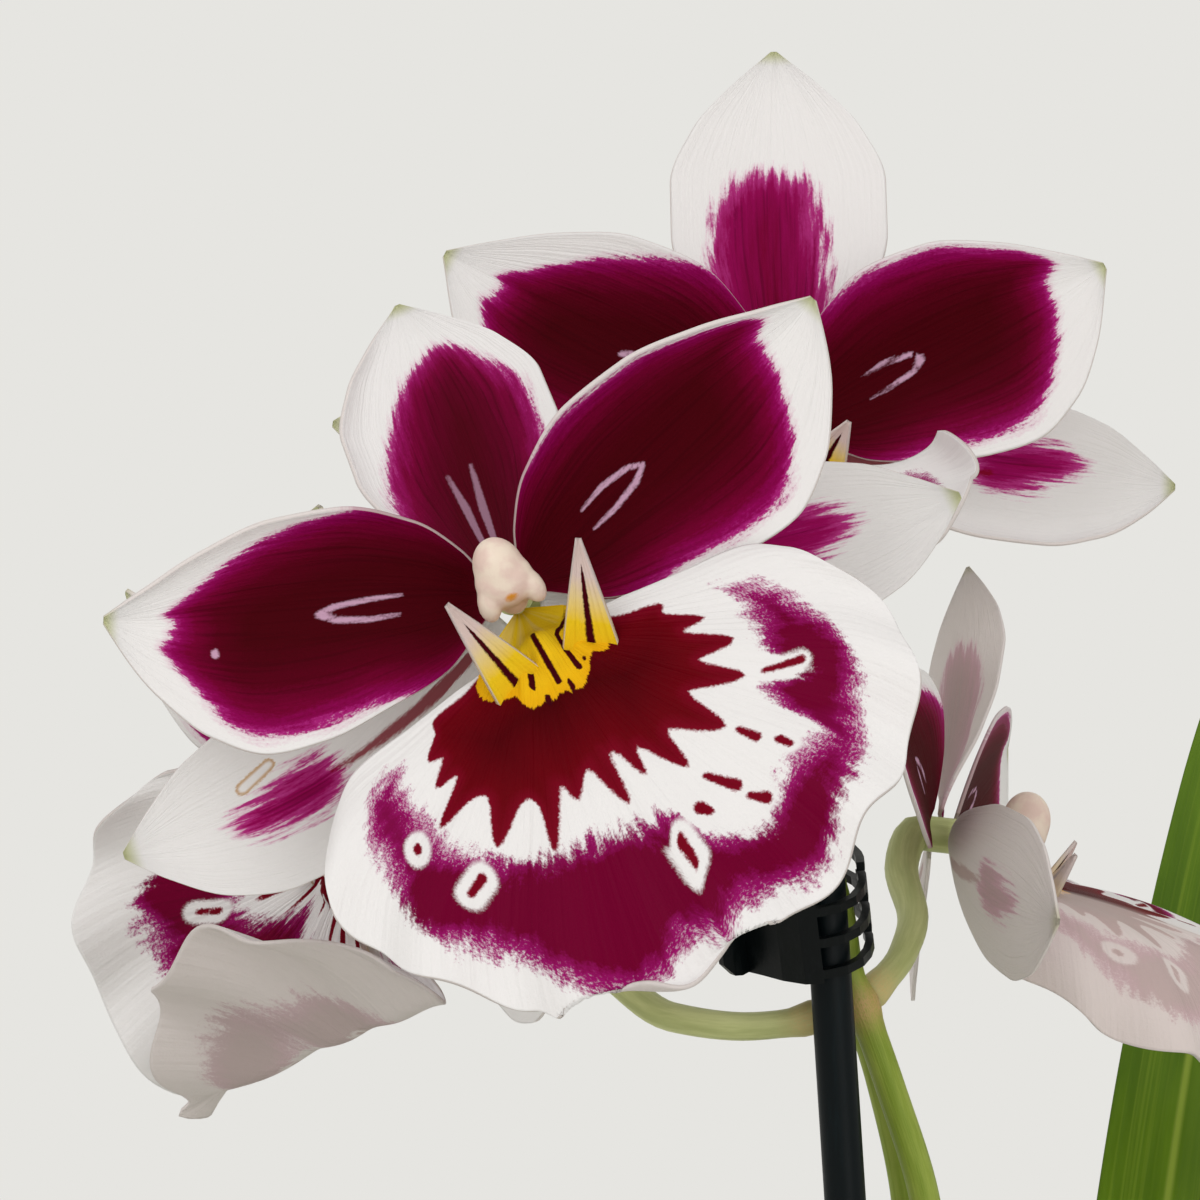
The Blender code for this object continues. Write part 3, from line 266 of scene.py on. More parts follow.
# Front lip's markings as (v, rho): edge of the yellow, teeth of the crimson, magenta band, spots in halos
YELLOW_EDGE = [(-1, 0.18), (-0.9, 0.21), (-0.7, 0.21), (-0.5, 0.18), (-0.35, 0.21), (-0.2, 0.18),
               (0, 0.19), (0.1, 0.21), (0.2, 0.19), (0.38, 0.165), (0.5, 0.19), (0.7, 0.19), (0.8, 0.165),
               (1, 0.14)]
STRIPES = [
    [(-1, 0.03, 0.2), (-0.6, 0.035, 0.3), (-0.37, 0.055, 0.32), (-0.31, 0.1, 0.33), (-0.33, 0.155, 0.3)],
    [(-1, 0.075, 0.2), (-0.8, 0.085, 0.28), (-0.62, 0.118, 0.32)],
    [(-0.05, 0.012, 0.22), (-0.05, 0.08, 0.24), (-0.05, 0.155, 0.32)],
    [(0.2, 0.158, 0.32), (0.21, 0.1, 0.3), (0.28, 0.05, 0.3), (0.5, 0.03, 0.26), (1, 0.02, 0.2)],
    [(1, 0.06, 0.2), (0.7, 0.072, 0.26), (0.5, 0.118, 0.32)],
    [(-0.2, 0.168, 0.25), (-0.2, 0.185, 0.3)], [(0.03, 0.165, 0.2), (0.03, 0.19, 0.3)], [(0.31, 0.155, 0.25)],
]
TEETH = [(-0.94, -0.1), (-0.94, 0.25), (-0.95, 0.40), (-0.88, 0.405), (-0.82, 0.46), (-0.77, 0.42),
         (-0.72, 0.51), (-0.66, 0.45), (-0.63, 0.60), (-0.57, 0.5), (-0.5, 0.485), (-0.44, 0.605),
         (-0.38, 0.48), (-0.31, 0.47), (-0.27, 0.57), (-0.23, 0.40), (-0.18, 0.43), (-0.11, 0.385),
         (-0.03, 0.53), (-0.005, 0.385), (0.025, 0.4), (0.06, 0.50), (0.1, 0.43), (0.175, 0.555),
         (0.23, 0.445), (0.335, 0.58), (0.40, 0.435), (0.525, 0.56), (0.55, 0.43), (0.655, 0.51),
         (0.68, 0.38), (0.755, 0.45), (0.8, 0.34), (0.87, 0.35), (0.84, 0.2), (0.83, -0.1)]
BAND_OUTER = [(-1, 0.6), (-0.85, 0.72), (-0.7, 0.8), (-0.5, 0.9), (-0.35, 0.88), (0.1, 0.93), (0.25, 0.95),
              (0.35, 0.93), (0.5, 0.88), (0.65, 0.8), (0.8, 0.72), (1, 0.55)]
BAND_INNER = [(-1, 0.6), (-0.85, 0.56), (-0.75, 0.57), (-0.6, 0.62), (-0.4, 0.63), (-0.22, 0.55),
              (-0.17, 0.515), (-0.1, 0.55), (-0.05, 0.59), (0, 0.57), (0.05, 0.62), (0.1, 0.75),
              (0.2, 0.79), (0.3, 0.76), (0.43, 0.77), (0.46, 0.65), (0.5, 0.6), (0.57, 0.7), (0.63, 0.57),
              (0.7, 0.58), (0.8, 0.55), (1, 0.55)]
BAND_ENDS = (-0.9, 0.87)
DENSE = [(-0.2, 0.68, 9.0, 6.5), (0.22, 0.86, 8.0, 3.2), (-0.55, 0.8, 7.0, 3.0), (0.6, 0.7, 4.0, 4.0)]
SPOTS = [
    ([(-0.66, 0.685, 0.6)], 1.9),
    ([(-0.46, 0.695, 0.45), (-0.48, 0.75, 0.35)], 1.6),
    ([(0.03, 0.675, 0.5), (0.03, 0.745, 0.35)], 1.6),
    ([(0.115, 0.66, 0.65), (0.125, 0.68, 0.45)], 1.4),
    ([(0.19, 0.6, 0.35), (0.22, 0.67, 0.55)], 1.1),
    ([(0.22, 0.71, 0.3), (0.24, 0.75, 0.5)], 1.0),
    ([(0.345, 0.61, 0.3), (0.345, 0.66, 0.5)], 1.1),
    ([(0.365, 0.71, 0.45), (0.365, 0.74, 0.35)], 1.1),
    ([(0.55, 0.6, 0.25), (0.595, 0.685, 0.4)], 1.0),
]


def linear(colour):
    """A colour as read off a screen, 0 to 255, as the renderer's own values."""
    return tuple((c / 255 / 12.92) if c <= 10 else ((c / 255 + 0.055) / 1.055) ** 2.4 for c in colour)


def curve_through(points, t):
    """A smooth curve through (position, value) pairs that never overshoots them, read at t."""
    x, y = np.array(points, float).T
    slope = np.diff(y) / np.diff(x)
    tangent = np.zeros(len(x))
    same = slope[:-1] * slope[1:] > 0
    mean = 2 * slope[:-1] * slope[1:] / np.where(same, slope[:-1] + slope[1:], 1)
    tangent[1:-1] = np.where(same, mean, 0)
    tangent[0], tangent[-1] = slope[0], slope[-1]
    t = np.clip(t, x[0], x[-1])
    k = np.clip(np.searchsorted(x, t, side="right") - 1, 0, len(x) - 2)
    width = x[k + 1] - x[k]
    s = (t - x[k]) / width
    return (y[k] * (2 * s**3 - 3 * s**2 + 1) + y[k + 1] * (3 * s**2 - 2 * s**3)
            + width * (tangent[k] * (s**3 - 2 * s**2 + s) + tangent[k + 1] * (s**3 - s**2)))


def summed(values, step):
    """Running sum along the first axis, starting at zero and taken between neighbours."""
    middle = (values[1:] + values[:-1]) / 2 * step
    return np.concatenate([np.zeros_like(values[:1]), np.cumsum(middle, 0)])


def paired(rows, cols):
    """Every value of rows with every value of cols, as two flat lists."""
    return (values.ravel() for values in np.meshgrid(rows, cols, indexing="ij"))


def across_blade(cols):
    """v of each column of a blade's points, closer together at its margins."""
    return np.sin(np.linspace(-1, 1, cols + 1) * CROWDED) / math.sin(CROWDED)


def blade_points(shape, rows, cols):
    """Points of a petal, sepal or leaf: a midrib that is bent step by step, with a section across it
    that is cupped, keeled and rolled at the margins."""
    t = np.linspace(0, 1, rows + 1)
    pitch, sway, twist = (np.radians(curve_through(shape[key], t)) for key in ("pitch", "sway", "twist"))
    along = np.stack([np.cos(pitch) * np.cos(sway), np.cos(pitch) * np.sin(sway), np.sin(pitch)], -1)
    path = summed(along, shape["length"] / rows) + (shape["start"][0], 0, shape["start"][1])
    across = np.stack([-np.sin(sway), np.cos(sway), np.zeros_like(sway)], -1)
    normal = np.cross(along, across)
    turn_cos, turn_sin = np.cos(twist)[:, None], np.sin(twist)[:, None]
    across, normal = across * turn_cos + normal * turn_sin, normal * turn_cos - across * turn_sin
    v = across_blade(cols)
    side = (v > 0).astype(int)
    roll = np.radians(np.stack([curve_through(points, t) for points in shape["rolls"]]))[side].T
    edge = np.clip((np.abs(v) - ROLL_FROM) / (1 - ROLL_FROM), 0, 1)
    slope = math.radians(shape["cup"]) * v + math.radians(shape["keel"]) * np.tanh(v / KEEL_FOLD)
    slope = slope + np.sign(v) * edge * roll
    middle = (slope[:, 1:] + slope[:, :-1]) / 2
    flat = np.concatenate([np.zeros((len(t), 1)), np.cumsum(np.cos(middle) * np.diff(v), 1)], 1)
    lift = np.concatenate([np.zeros((len(t), 1)), np.cumsum(np.sin(middle) * np.diff(v), 1)], 1)
    width = np.stack([curve_through(points, t) for points in shape["widths"]])[side].T
    flat = (flat - flat[:, cols // 2:cols // 2 + 1]) * width
    lift = (lift - lift[:, cols // 2:cols // 2 + 1]) * width
    points = path[:, None] + across[:, None] * flat[..., None] + normal[:, None] * lift[..., None]
    angle = math.radians(shape["angle"])
    return points @ np.array([[math.cos(angle), math.sin(angle), 0], [-math.sin(angle), math.cos(angle), 0],
                              [0, 0, 1]])


def lip_rows(rows):
    """How far out each row of a lip's points is, closer together at its edge."""
    return np.linspace(0, 1, rows + 1) ** ROW_POWER


def lip_spread(rho):
    """Half the angle that a lip's fan covers, at each distance out."""
    return np.radians(curve_through([(0, 60), (0.12, 50), (0.3, 59), (0.5, 65), (0.8, 70), (1, 67)], rho))


def lip_points(shape, rows, cols):
    """Points of a lip: a fan of rays that spread from the throat, each with its own reach and slope, and
    any half or margin of it bent round a straight crease."""
    rho = lip_rows(rows)
    v = np.linspace(-1, 1, cols + 1)
    reach = np.where(v < 0, curve_through(shape["sides"][0], -v), curve_through(shape["sides"][1], v))
    reach = reach + 2.6 * np.exp(-((v / 0.025) ** 2)) + 0.45 * np.sin(31 * v + 1)
    spread = lip_spread(rho) * shape.get("spread", 1)
    rise = np.clip((rho[:, None] - shape["margin_from"]) / (1 - shape["margin_from"]), 0, 1) ** 1.2
    slope = np.radians(curve_through(shape["slope"], rho))[:, None] + np.radians(
        curve_through(shape["margin"], v))[None, :] * rise
    slope = slope + math.radians(6) * rho[:, None] ** 2 * np.sin(21 * v + 0.6)[None, :]
    middle = (slope[1:] + slope[:-1]) / 2
    step = np.diff(rho)[:, None] * (reach - THROAT)
    out = np.vstack([np.zeros(cols + 1), np.cumsum(np.cos(middle) * step, 0)]) + THROAT
    lift = np.vstack([np.zeros(cols + 1), np.cumsum(np.sin(middle) * step, 0)])
    x, down = out * np.sin(spread[:, None] * v), out * np.cos(spread[:, None] * v)
    inner = np.linspace(0.15, 1, INNER_ROWS + 1)[:-1, None]
    x, down = np.vstack([inner * x[:1], x]), np.vstack([inner * down[:1], down])
    lift = np.vstack([np.zeros((INNER_ROWS, cols + 1)), lift]) + crest(x, down)
    for crease_x, crease_down, heading, radius, turn in shape.get("bends", ()):
        heading, turn = math.radians(heading), math.radians(turn)
        past = (x - crease_x) * math.cos(heading) + (down - crease_down) * math.sin(heading)
        arc = np.clip(past / radius, 0, turn)
        rest = np.clip(past - radius * turn, 0, None)
        moved = radius * np.sin(arc) + rest * math.cos(turn) - lift * np.sin(arc)
        bent = radius * (1 - np.cos(arc)) + rest * np.sin(arc) + lift * np.cos(arc)
        lift = np.where(past > 0, bent, lift)
        shift = np.where(past > 0, moved - past, 0)
        x, down = x + shift * math.cos(heading), down + shift * math.sin(heading)
    return in_lip_frame(shape, np.stack([x, down, lift], -1))


def crest(x, down):
    """Height of the yellow crest: a blunt keel under the column and a low fold on each side of it."""
    keel = 2.2 * np.exp(-((x / 1.6) ** 2) - ((down - 7.0) / 3.0) ** 4)
    folds = sum(0.7 * np.exp(-(((x - side * (0.32 * down + 0.4)) / 0.75) ** 2) - ((down - 8.2) / 3.4) ** 4)
                for side in (-1, 1))
    return keel + folds


def in_lip_frame(shape, points):
    """From the lip's own plane (sideways, down it, out of it) to the bloom's axes."""
    foot = shape.get("foot", (-1.6, 1.0))
    tilt, turn = math.radians(shape["tilt"]), math.radians(shape["turn"])
    x, down, lift = np.moveaxis(np.asarray(points, float), -1, 0)
    x, down = x * math.cos(turn) + down * math.sin(turn), down * math.cos(turn) - x * math.sin(turn)
    forward = down * math.sin(tilt) + lift * math.cos(tilt)
    return np.stack([x, foot[0] - down * math.cos(tilt) + lift * math.sin(tilt), foot[1] + forward], -1)


def bloom_matrix(place, turn):
    """World matrix of a bloom, in metres, from its place and its yaw, pitch and roll."""
    yaw, pitch, roll = (math.radians(value) for value in turn)
    out = Vector((math.sin(yaw) * math.cos(pitch), -math.cos(yaw) * math.cos(pitch), math.sin(pitch)))
    right = Vector((math.cos(yaw), math.sin(yaw), 0))
    up = out.cross(right)
    axes = Matrix((right * math.cos(roll) + up * math.sin(roll),
                   up * math.cos(roll) - right * math.sin(roll), out))
    return Matrix.Translation(Vector(place) * MM) @ axes.transposed().to_4x4()


def in_world(matrix, points):
    """Points in a bloom's millimetres as world points in metres."""
    turn = np.array(matrix.to_3x3())
    return points * MM @ turn.T + np.array(matrix.translation)


# Markings: each is a distance in millimetres, positive inside the mark


def rounded(outline, steps=5):
    """A closed curve through an outline's points."""
    p = np.array(outline, float)
    before, after, last = np.roll(p, 1, 0), np.roll(p, -1, 0), np.roll(p, -2, 0)
    s = (np.arange(steps) / steps)[None, :, None]
    p, before, after, last = (a[:, None] for a in (p, before, after, last))
    curve = 0.5 * (2 * p + (after - before) * s + (2 * before - 5 * p + 4 * after - last) * s**2
                   + (3 * p - before - 3 * after + last) * s**3)
    return curve.reshape(-1, 2)


def from_line(points, p, q):
    """Distance of each point from the line p to q, and how far along the line its nearest place is."""
    edge, offset = q - p, points - p
    s = np.clip(offset @ edge / max(edge @ edge, 1e-12), 0, 1)
    return np.linalg.norm(offset - s[:, None] * edge, axis=1), s


def inside(points, outline):
    """Signed distance of each point from a closed outline."""
    best = np.full(len(points), 1e9)
    within = np.zeros(len(points), bool)
    for p, q in zip(outline, np.roll(outline, -1, 0)):
        best = np.minimum(best, from_line(points, p, q)[0])
        if p[1] != q[1]:
            edge, crosses = q - p, (p[1] > points[:, 1]) != (q[1] > points[:, 1])
            within ^= crosses & (points[:, 0] < edge[0] * (points[:, 1] - p[1]) / edge[1] + p[0])
    return np.where(within, best, -best)


def stroked(points, strokes, plane):
    """Signed distance of each point from brush strokes, given as (v, t, radius)."""
    best = np.full(len(points), -9.0)
    for stroke in strokes:
        places = [np.array(plane(np.float64(v), np.float64(t))) for v, t, _ in stroke]
        radii = [r for _, _, r in stroke]
        if len(stroke) == 1:
            best = np.maximum(best, radii[0] - np.linalg.norm(points - places[0], axis=1))
        for p, q, a, b in zip(places, places[1:], radii, radii[1:]):
            away, s = from_line(points, p, q)
            best = np.maximum(best, a + (b - a) * s - away)
    return best


def tepal_fields(name, part, shape, rows, cols, seed):
    """The markings of one petal or sepal at each of its mesh points."""
    marks = dict(MARKS[part])
    if part == "dorsal_sepal" and name != "bloom_front":
        marks = dict(OTHER_DORSAL)
    t, v = paired(np.linspace(0, 1, rows + 1), across_blade(cols))
    length = shape["length"]

    def plane(v, t):
        return np.stack([v * MARKED_HALF, t * length], -1)

    points = plane(v, t)
    outline = plane(*rounded(marks["zone"]).T)
    pale = list(marks.get("pale", []))
    blemish = []
    if (name, part) == ("bloom_front", "petal_left"):
        pale.append(SPECK)
    if (name, part) == ("bloom_front", "sepal_left"):
        blemish.append(BLEMISH)
    flow = np.stack([points[:, 0], points[:, 1], np.full(len(points), seed * 37.0)], -1)
    return dict(zone=inside(points, outline), deep=np.full(len(points), marks["deep"]),
                feather=np.full(len(points), marks["feather"]), pale=stroked(points, pale, plane),
                pale_amount=np.full(len(points), 0.4 if part == "dorsal_sepal" else 0.8),
                stripe=stroked(points, marks.get("stripe", []), plane),
                blemish=stroked(points, blemish, plane), t=t, v=v, flow=flow)


def lip_plane(v, rho):
    """A lip's own coordinates as millimetres on its flattened plane."""
    angle = lip_spread(rho) * v
    radius = THROAT + (LIP_REACH - THROAT) * rho
    return np.stack([radius * np.sin(angle), radius * np.cos(angle)], -1)


def lip_fields(rows, cols, seed, drawn_in, veil):
    """The markings of a lip at each of its mesh points, drawn in towards the throat by a curve."""
    rho, v = paired(np.append(np.zeros(INNER_ROWS), lip_rows(rows)), np.linspace(-1, 1, cols + 1))
    rho = curve_through(drawn_in, rho)
    points = lip_plane(v, rho)
    reach = LIP_REACH - THROAT
    crimson = inside(points, lip_plane(*rounded(TEETH, 4).T))
    crimson = np.maximum(crimson, stroked(points, [spot for spot, _ in SPOTS], lip_plane))
    halo = np.max([stroked(points, [[(a, b, size) for a, b, _ in spot]], lip_plane)
                   for spot, size in SPOTS], 0)
    band = np.minimum(curve_through(BAND_OUTER, v) - rho, rho - curve_through(BAND_INNER, v)) * reach
    ends = np.minimum(v - BAND_ENDS[0], BAND_ENDS[1] - v) * LIP_REACH
    dense = np.zeros(len(v))
    for a, b, wide, tall in DENSE:
        away = points - lip_plane(np.float64(a), np.float64(b))
        dense = np.maximum(dense, np.exp(-(away[:, 0] / wide) ** 2 - (away[:, 1] / tall) ** 2))
    flow = np.stack([v * 30, rho * 45, np.full(len(v), seed * 37.0)], -1)
    return dict(yellow=(curve_through(YELLOW_EDGE, v) - rho) * reach, crimson=crimson, halo=halo,
                band=np.minimum(band, ends), dense=dense, strip=stroked(points, STRIPES, lip_plane),
                t=rho, v=v, flow=flow, veil=np.clip((veil - v) * 4, 0, 1))


# Meshes


def in_scene(name, data):
    """A new object with this mesh, light or camera, linked to the scene."""
    made = bpy.data.objects.new(name, data)
    bpy.context.scene.collection.objects.link(made)
    return made


def piece_from(name, points, faces, fields, materials):
    """A smooth-shaded mesh object with its point fields and its materials."""
    mesh = bpy.data.meshes.new(name)
    mesh.from_pydata(points.tolist(), [], faces)
    for key, values in fields.items():
        kind, entry = ("FLOAT", "value") if values.ndim == 1 else ("FLOAT_VECTOR", "vector")
        mesh.attributes.new(key, kind, "POINT").data.foreach_set(entry, values.astype(np.float32).ravel())
    mesh.shade_smooth()
    for item in materials:
        mesh.materials.append(item)
    return in_scene(name, mesh)


def grid_faces(rows, cols, first=0):
    """Quads of a grid of points stored row by row, facing out of a bloom."""
    i, j = paired(np.arange(rows), np.arange(cols))
    corner = i * (cols + 1) + j + first
    return np.stack([corner, corner + cols + 1, corner + cols + 2, corner + 1], -1).tolist()


def thicken(obj, thickness, back=1):
    """Gives a sheet its thickness. back is the material slot of its back and rim."""
    shell = obj.modifiers.new("Thickness", "SOLIDIFY")
    shell.thickness = thickness * MM
    shell.offset = 0
    shell.material_offset = back
    shell.material_offset_rim = back
    return obj


def stands_for(obj, node):
    """The piece rides on the plant and takes a solid's place."""
    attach(obj, PLANT_BODY)
    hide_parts(node)


def tube_rings(points, radii, sides, step, swellings):
    """Rings of points round a smooth stem, and how far along it each ring is."""
    points = np.array(points, float)
    lengths = np.concatenate([[0], np.cumsum(np.linalg.norm(np.diff(points, axis=0), axis=1))])
    at = np.linspace(0, lengths[-1], max(8, int(lengths[-1] / step)))
    centre = np.stack([curve_through(list(zip(lengths, points[:, k])), at) for k in range(3)], -1)
    width = np.interp(lengths, np.linspace(0, lengths[-1], len(radii)), radii)
    width = np.interp(at, lengths, width) * STEM_TRIM
    for place in swellings:
        width = width * (1 + SWELL * np.exp(-(((at - place * lengths[-1]) / 1.8) ** 2)))
    tangent = np.gradient(centre, axis=0)
    tangent /= np.linalg.norm(tangent, axis=1)[:, None]
    side = np.cross(tangent[0], (0.3, 1, 0.2))
    angles = np.linspace(0, 2 * math.pi, sides, endpoint=False)
    rings = []
    for place, way, radius in zip(centre, tangent, width):
        side = side - way * (side @ way)
        side = side / np.linalg.norm(side)
        other = np.cross(way, side)
        rings.append(place + radius * (np.cos(angles)[:, None] * side + np.sin(angles)[:, None] * other))
    return np.array(rings), at, angles


def tube(name, points, radii, materials, sides=20, step=1.3, swellings=(), seed=0):
    """A round stem through the points, with a swelling at each given share of its length."""
    rings, at, angles = tube_rings(points, radii, sides, step, swellings)
    count = len(rings)
    faces = [[i * sides + j, i * sides + (j + 1) % sides, (i + 1) * sides + (j + 1) % sides,
              (i + 1) * sides + j] for i in range(count - 1) for j in range(sides)]
    faces += [list(range(sides))[::-1], [(count - 1) * sides + j for j in range(sides)]]
    along = np.repeat(at, sides)
    node = np.zeros(len(along))
    for place in swellings:
        node = np.maximum(node, np.exp(-(((along - place * at[-1]) / 2.2) ** 2)))
    spin = np.tile(angles, count)
    flow = np.stack([np.cos(spin) * 3, np.sin(spin) * 3, along], -1) + (seed * 19.0, 0, 0)
    return piece_from(name, rings.reshape(-1, 3) * MM, faces, dict(flow=flow, t=along / at[-1], node=node),
                      materials)


# Materials


class Surface:
    """A material's node tree, with one short call for each kind of step."""

    def __init__(self, name):
        self.material = bpy.data.materials.new(name)
        self.material.use_nodes = True
        self.tree = self.material.node_tree
        self.shader = self.tree.nodes["Principled BSDF"]
        self.output = self.tree.nodes["Material Output"]

    def node(self, kind):
        return self.tree.nodes.new("ShaderNode" + kind)

    def join(self, value, socket):
        if isinstance(value, bpy.types.NodeSocket):
            self.tree.links.new(value, socket)
        else:
            socket.default_value = value

    def math(self, operation, *values, clamp=False):
        node = self.node("Math")
        node.operation = operation
        node.use_clamp = clamp
        for value, socket in zip(values, node.inputs):
            self.join(value, socket)
        return node.outputs[0]

    def times(self, one, other):
        return self.math("MULTIPLY", one, other)

    def relief(self, coarse, tall, fine, low):
        """Height of a coarse and a fine noise together."""
        return self.math("MULTIPLY_ADD", coarse, tall, self.times(fine, low))

    def mix(self, amount, one, other):
        node = self.node("Mix")
        node.data_type = "RGBA"
        self.join(amount, node.inputs["Factor"])
        for value, socket in ((one, node.inputs[6]), (other, node.inputs[7])):
            self.join((*linear(value), 1) if isinstance(value, tuple) else value, socket)
        return node.outputs[2]

    def field(self, name, kind="Fac"):
        node = self.node("Attribute")
        node.attribute_name = name
        return node.outputs[kind]

    def noise(self, vector, scale, detail=3.0, rough=0.5):
        """Noise from 0 to 1 whose grains are 1 / scale long on each axis."""
        mapping = self.node("Mapping")
        mapping.inputs["Scale"].default_value = scale if isinstance(scale, tuple) else (scale,) * 3
        self.join(vector, mapping.inputs["Vector"])
        node = self.node("TexNoise")
        node.inputs["Scale"].default_value = 1
        node.inputs["Detail"].default_value = detail
        node.inputs["Roughness"].default_value = rough
        self.tree.links.new(mapping.outputs[0], node.inputs["Vector"])
        return node.outputs["Fac"]

    def place(self):
        """World place in millimetres."""
        node = self.node("VectorMath")
        node.operation = "SCALE"
        coordinates = self.node("TexCoord")
        self.tree.links.new(coordinates.outputs["Object"], node.inputs[0])
        node.inputs["Scale"].default_value = 1 / MM
        return node.outputs[0]

    def step(self, value, low, high, to=(0, 1)):
        node = self.node("MapRange")
        node.interpolation_type = "SMOOTHSTEP"
        self.join(value, node.inputs["Value"])
        for name, number in zip(("From Min", "From Max", "To Min", "To Max"), (low, high, *to)):
            node.inputs[name].default_value = number
        return node.outputs[0]

    def ramp(self, value, low, high, stops):
        """Colours read off at value, which runs from low to high."""
        scaled_value = self.math("DIVIDE", self.math("SUBTRACT", value, float(low)), float(high - low),
                                 clamp=True)
        node = self.node("ValToRGB")
        items = node.color_ramp.elements
        while len(items) < len(stops):
            items.new(0.5)
        for item, (place, colour) in zip(items, stops):
            item.position = (place - low) / (high - low)
            item.color = (*linear(colour), 1)
        self.join(scaled_value, node.inputs[0])
        return node.outputs[0]

    def wobble(self, value, noise, size):
        """A distance moved in or out by noise, by up to size millimetres each way."""
        return self.math("MULTIPLY_ADD", self.math("SUBTRACT", noise, 0.5), size, value)

    def bump(self, height, distance, strength=1.0):
        node = self.node("Bump")
        node.inputs["Strength"].default_value = strength
        node.inputs["Distance"].default_value = distance * MM
        self.join(height, node.inputs["Height"])
        return node.outputs[0]

    def finish(self, colour, roughness=0.5, bump=None, through=None, **fixed):
        """Sets the shader. through lets light pass to the other side in the same colour."""
        self.join(colour if not isinstance(colour, tuple) else (*linear(colour), 1),
                  self.shader.inputs["Base Color"])
        self.join(roughness, self.shader.inputs["Roughness"])
        for name, value in fixed.items():
            self.shader.inputs[name.replace("_", " ")].default_value = value
        if bump is not None:
            self.join(bump, self.shader.inputs["Normal"])
        if through:
            glow = self.node("BsdfTranslucent")
            self.join(colour, glow.inputs["Color"])
            blend = self.node("MixShader")
            blend.inputs[0].default_value = through
            self.tree.links.new(self.shader.outputs[0], blend.inputs[1])
            self.tree.links.new(glow.outputs[0], blend.inputs[2])
            self.tree.links.new(blend.outputs[0], self.output.inputs[0])
        return self.material


WHITE = (240, 238, 238)


def tepal_colour(s):
    """Colour of a petal's or sepal's face, and its fine relief."""
    flow = s.field("flow", "Vector")
    streaks = s.noise(flow, (1.5, 0.16, 1), 4.0, 0.6)
    grain = s.noise(flow, (5, 2.2, 1), 3.0, 0.7)
    veins = s.noise(flow, (2.6, 0.05, 1), 2.0)
    feather = s.times(s.field("feather"), 2.0)
    zone = s.wobble(s.field("zone"), streaks, feather)
    zone = s.wobble(zone, grain, 1.6)
    zone = s.wobble(zone, veins, 0.8)
    deep = s.ramp(zone, -1, 7, [(-1, WHITE), (-0.35, (232, 214, 222)), (0.05, (176, 40, 128)),
                                (0.7, (142, 4, 84)), (2.0, (116, 0, 48)), (4.0, (88, 0, 24)),
                                (7, (72, 1, 12))])
    bright = s.ramp(zone, -1, 7, [(-1, WHITE), (-0.3, (232, 208, 220)), (0.5, (190, 60, 140)),
                                  (2.0, (160, 12, 95)), (7, (140, 2, 60))])
    colour = s.mix(s.field("deep"), bright, deep)
    inner = s.step(zone, 1.0, 3.0)
    dark_vein = s.times(s.step(veins, 0.5, 0.68), s.times(inner, 0.35))
    colour = s.mix(dark_vein, colour, (56, 0, 8))
    pale = s.step(s.wobble(s.field("pale"), grain, 0.35), -0.12, 0.16)
    colour = s.mix(s.times(pale, s.field("pale_amount")), colour, (222, 178, 208))
    stripe = s.step(s.wobble(s.wobble(s.field("stripe"), streaks, 1.6), grain, 0.9), -0.2, 0.5)
    colour = s.mix(s.times(stripe, 0.9), colour, (140, 8, 40))
    mark = s.field("blemish")
    rim = s.times(s.step(s.wobble(mark, grain, 0.7), -0.2, 0.1), s.step(mark, 0.5, 0.1))
    colour = s.mix(s.times(rim, 0.8), colour, (196, 150, 92))
    tip = s.step(s.field("t"), 0.955, 1.0)
    colour = s.mix(s.times(tip, 0.75), colour, (186, 190, 110))
    height = s.relief(veins, 1.4, grain, 0.5)
    return colour, height, inner


def tepal_front():
    s = Surface("tepal_face")
    colour, height, inner = tepal_colour(s)
    roughness = s.math("MULTIPLY_ADD", inner, 0.1, 0.44)
    return s.finish(colour, roughness, s.bump(height, 0.12, 0.8), through=LIGHT_THROUGH,
                    Specular_IOR_Level=0.03)


def tepal_back():
    s = Surface("tepal_back")
    colour, height, inner = tepal_colour(s)
    colour = s.mix(0.62, colour, (218, 206, 202))
    return s.finish(colour, 0.5, s.bump(height, 0.15, 0.9), through=LIGHT_THROUGH, Specular_IOR_Level=0.15)


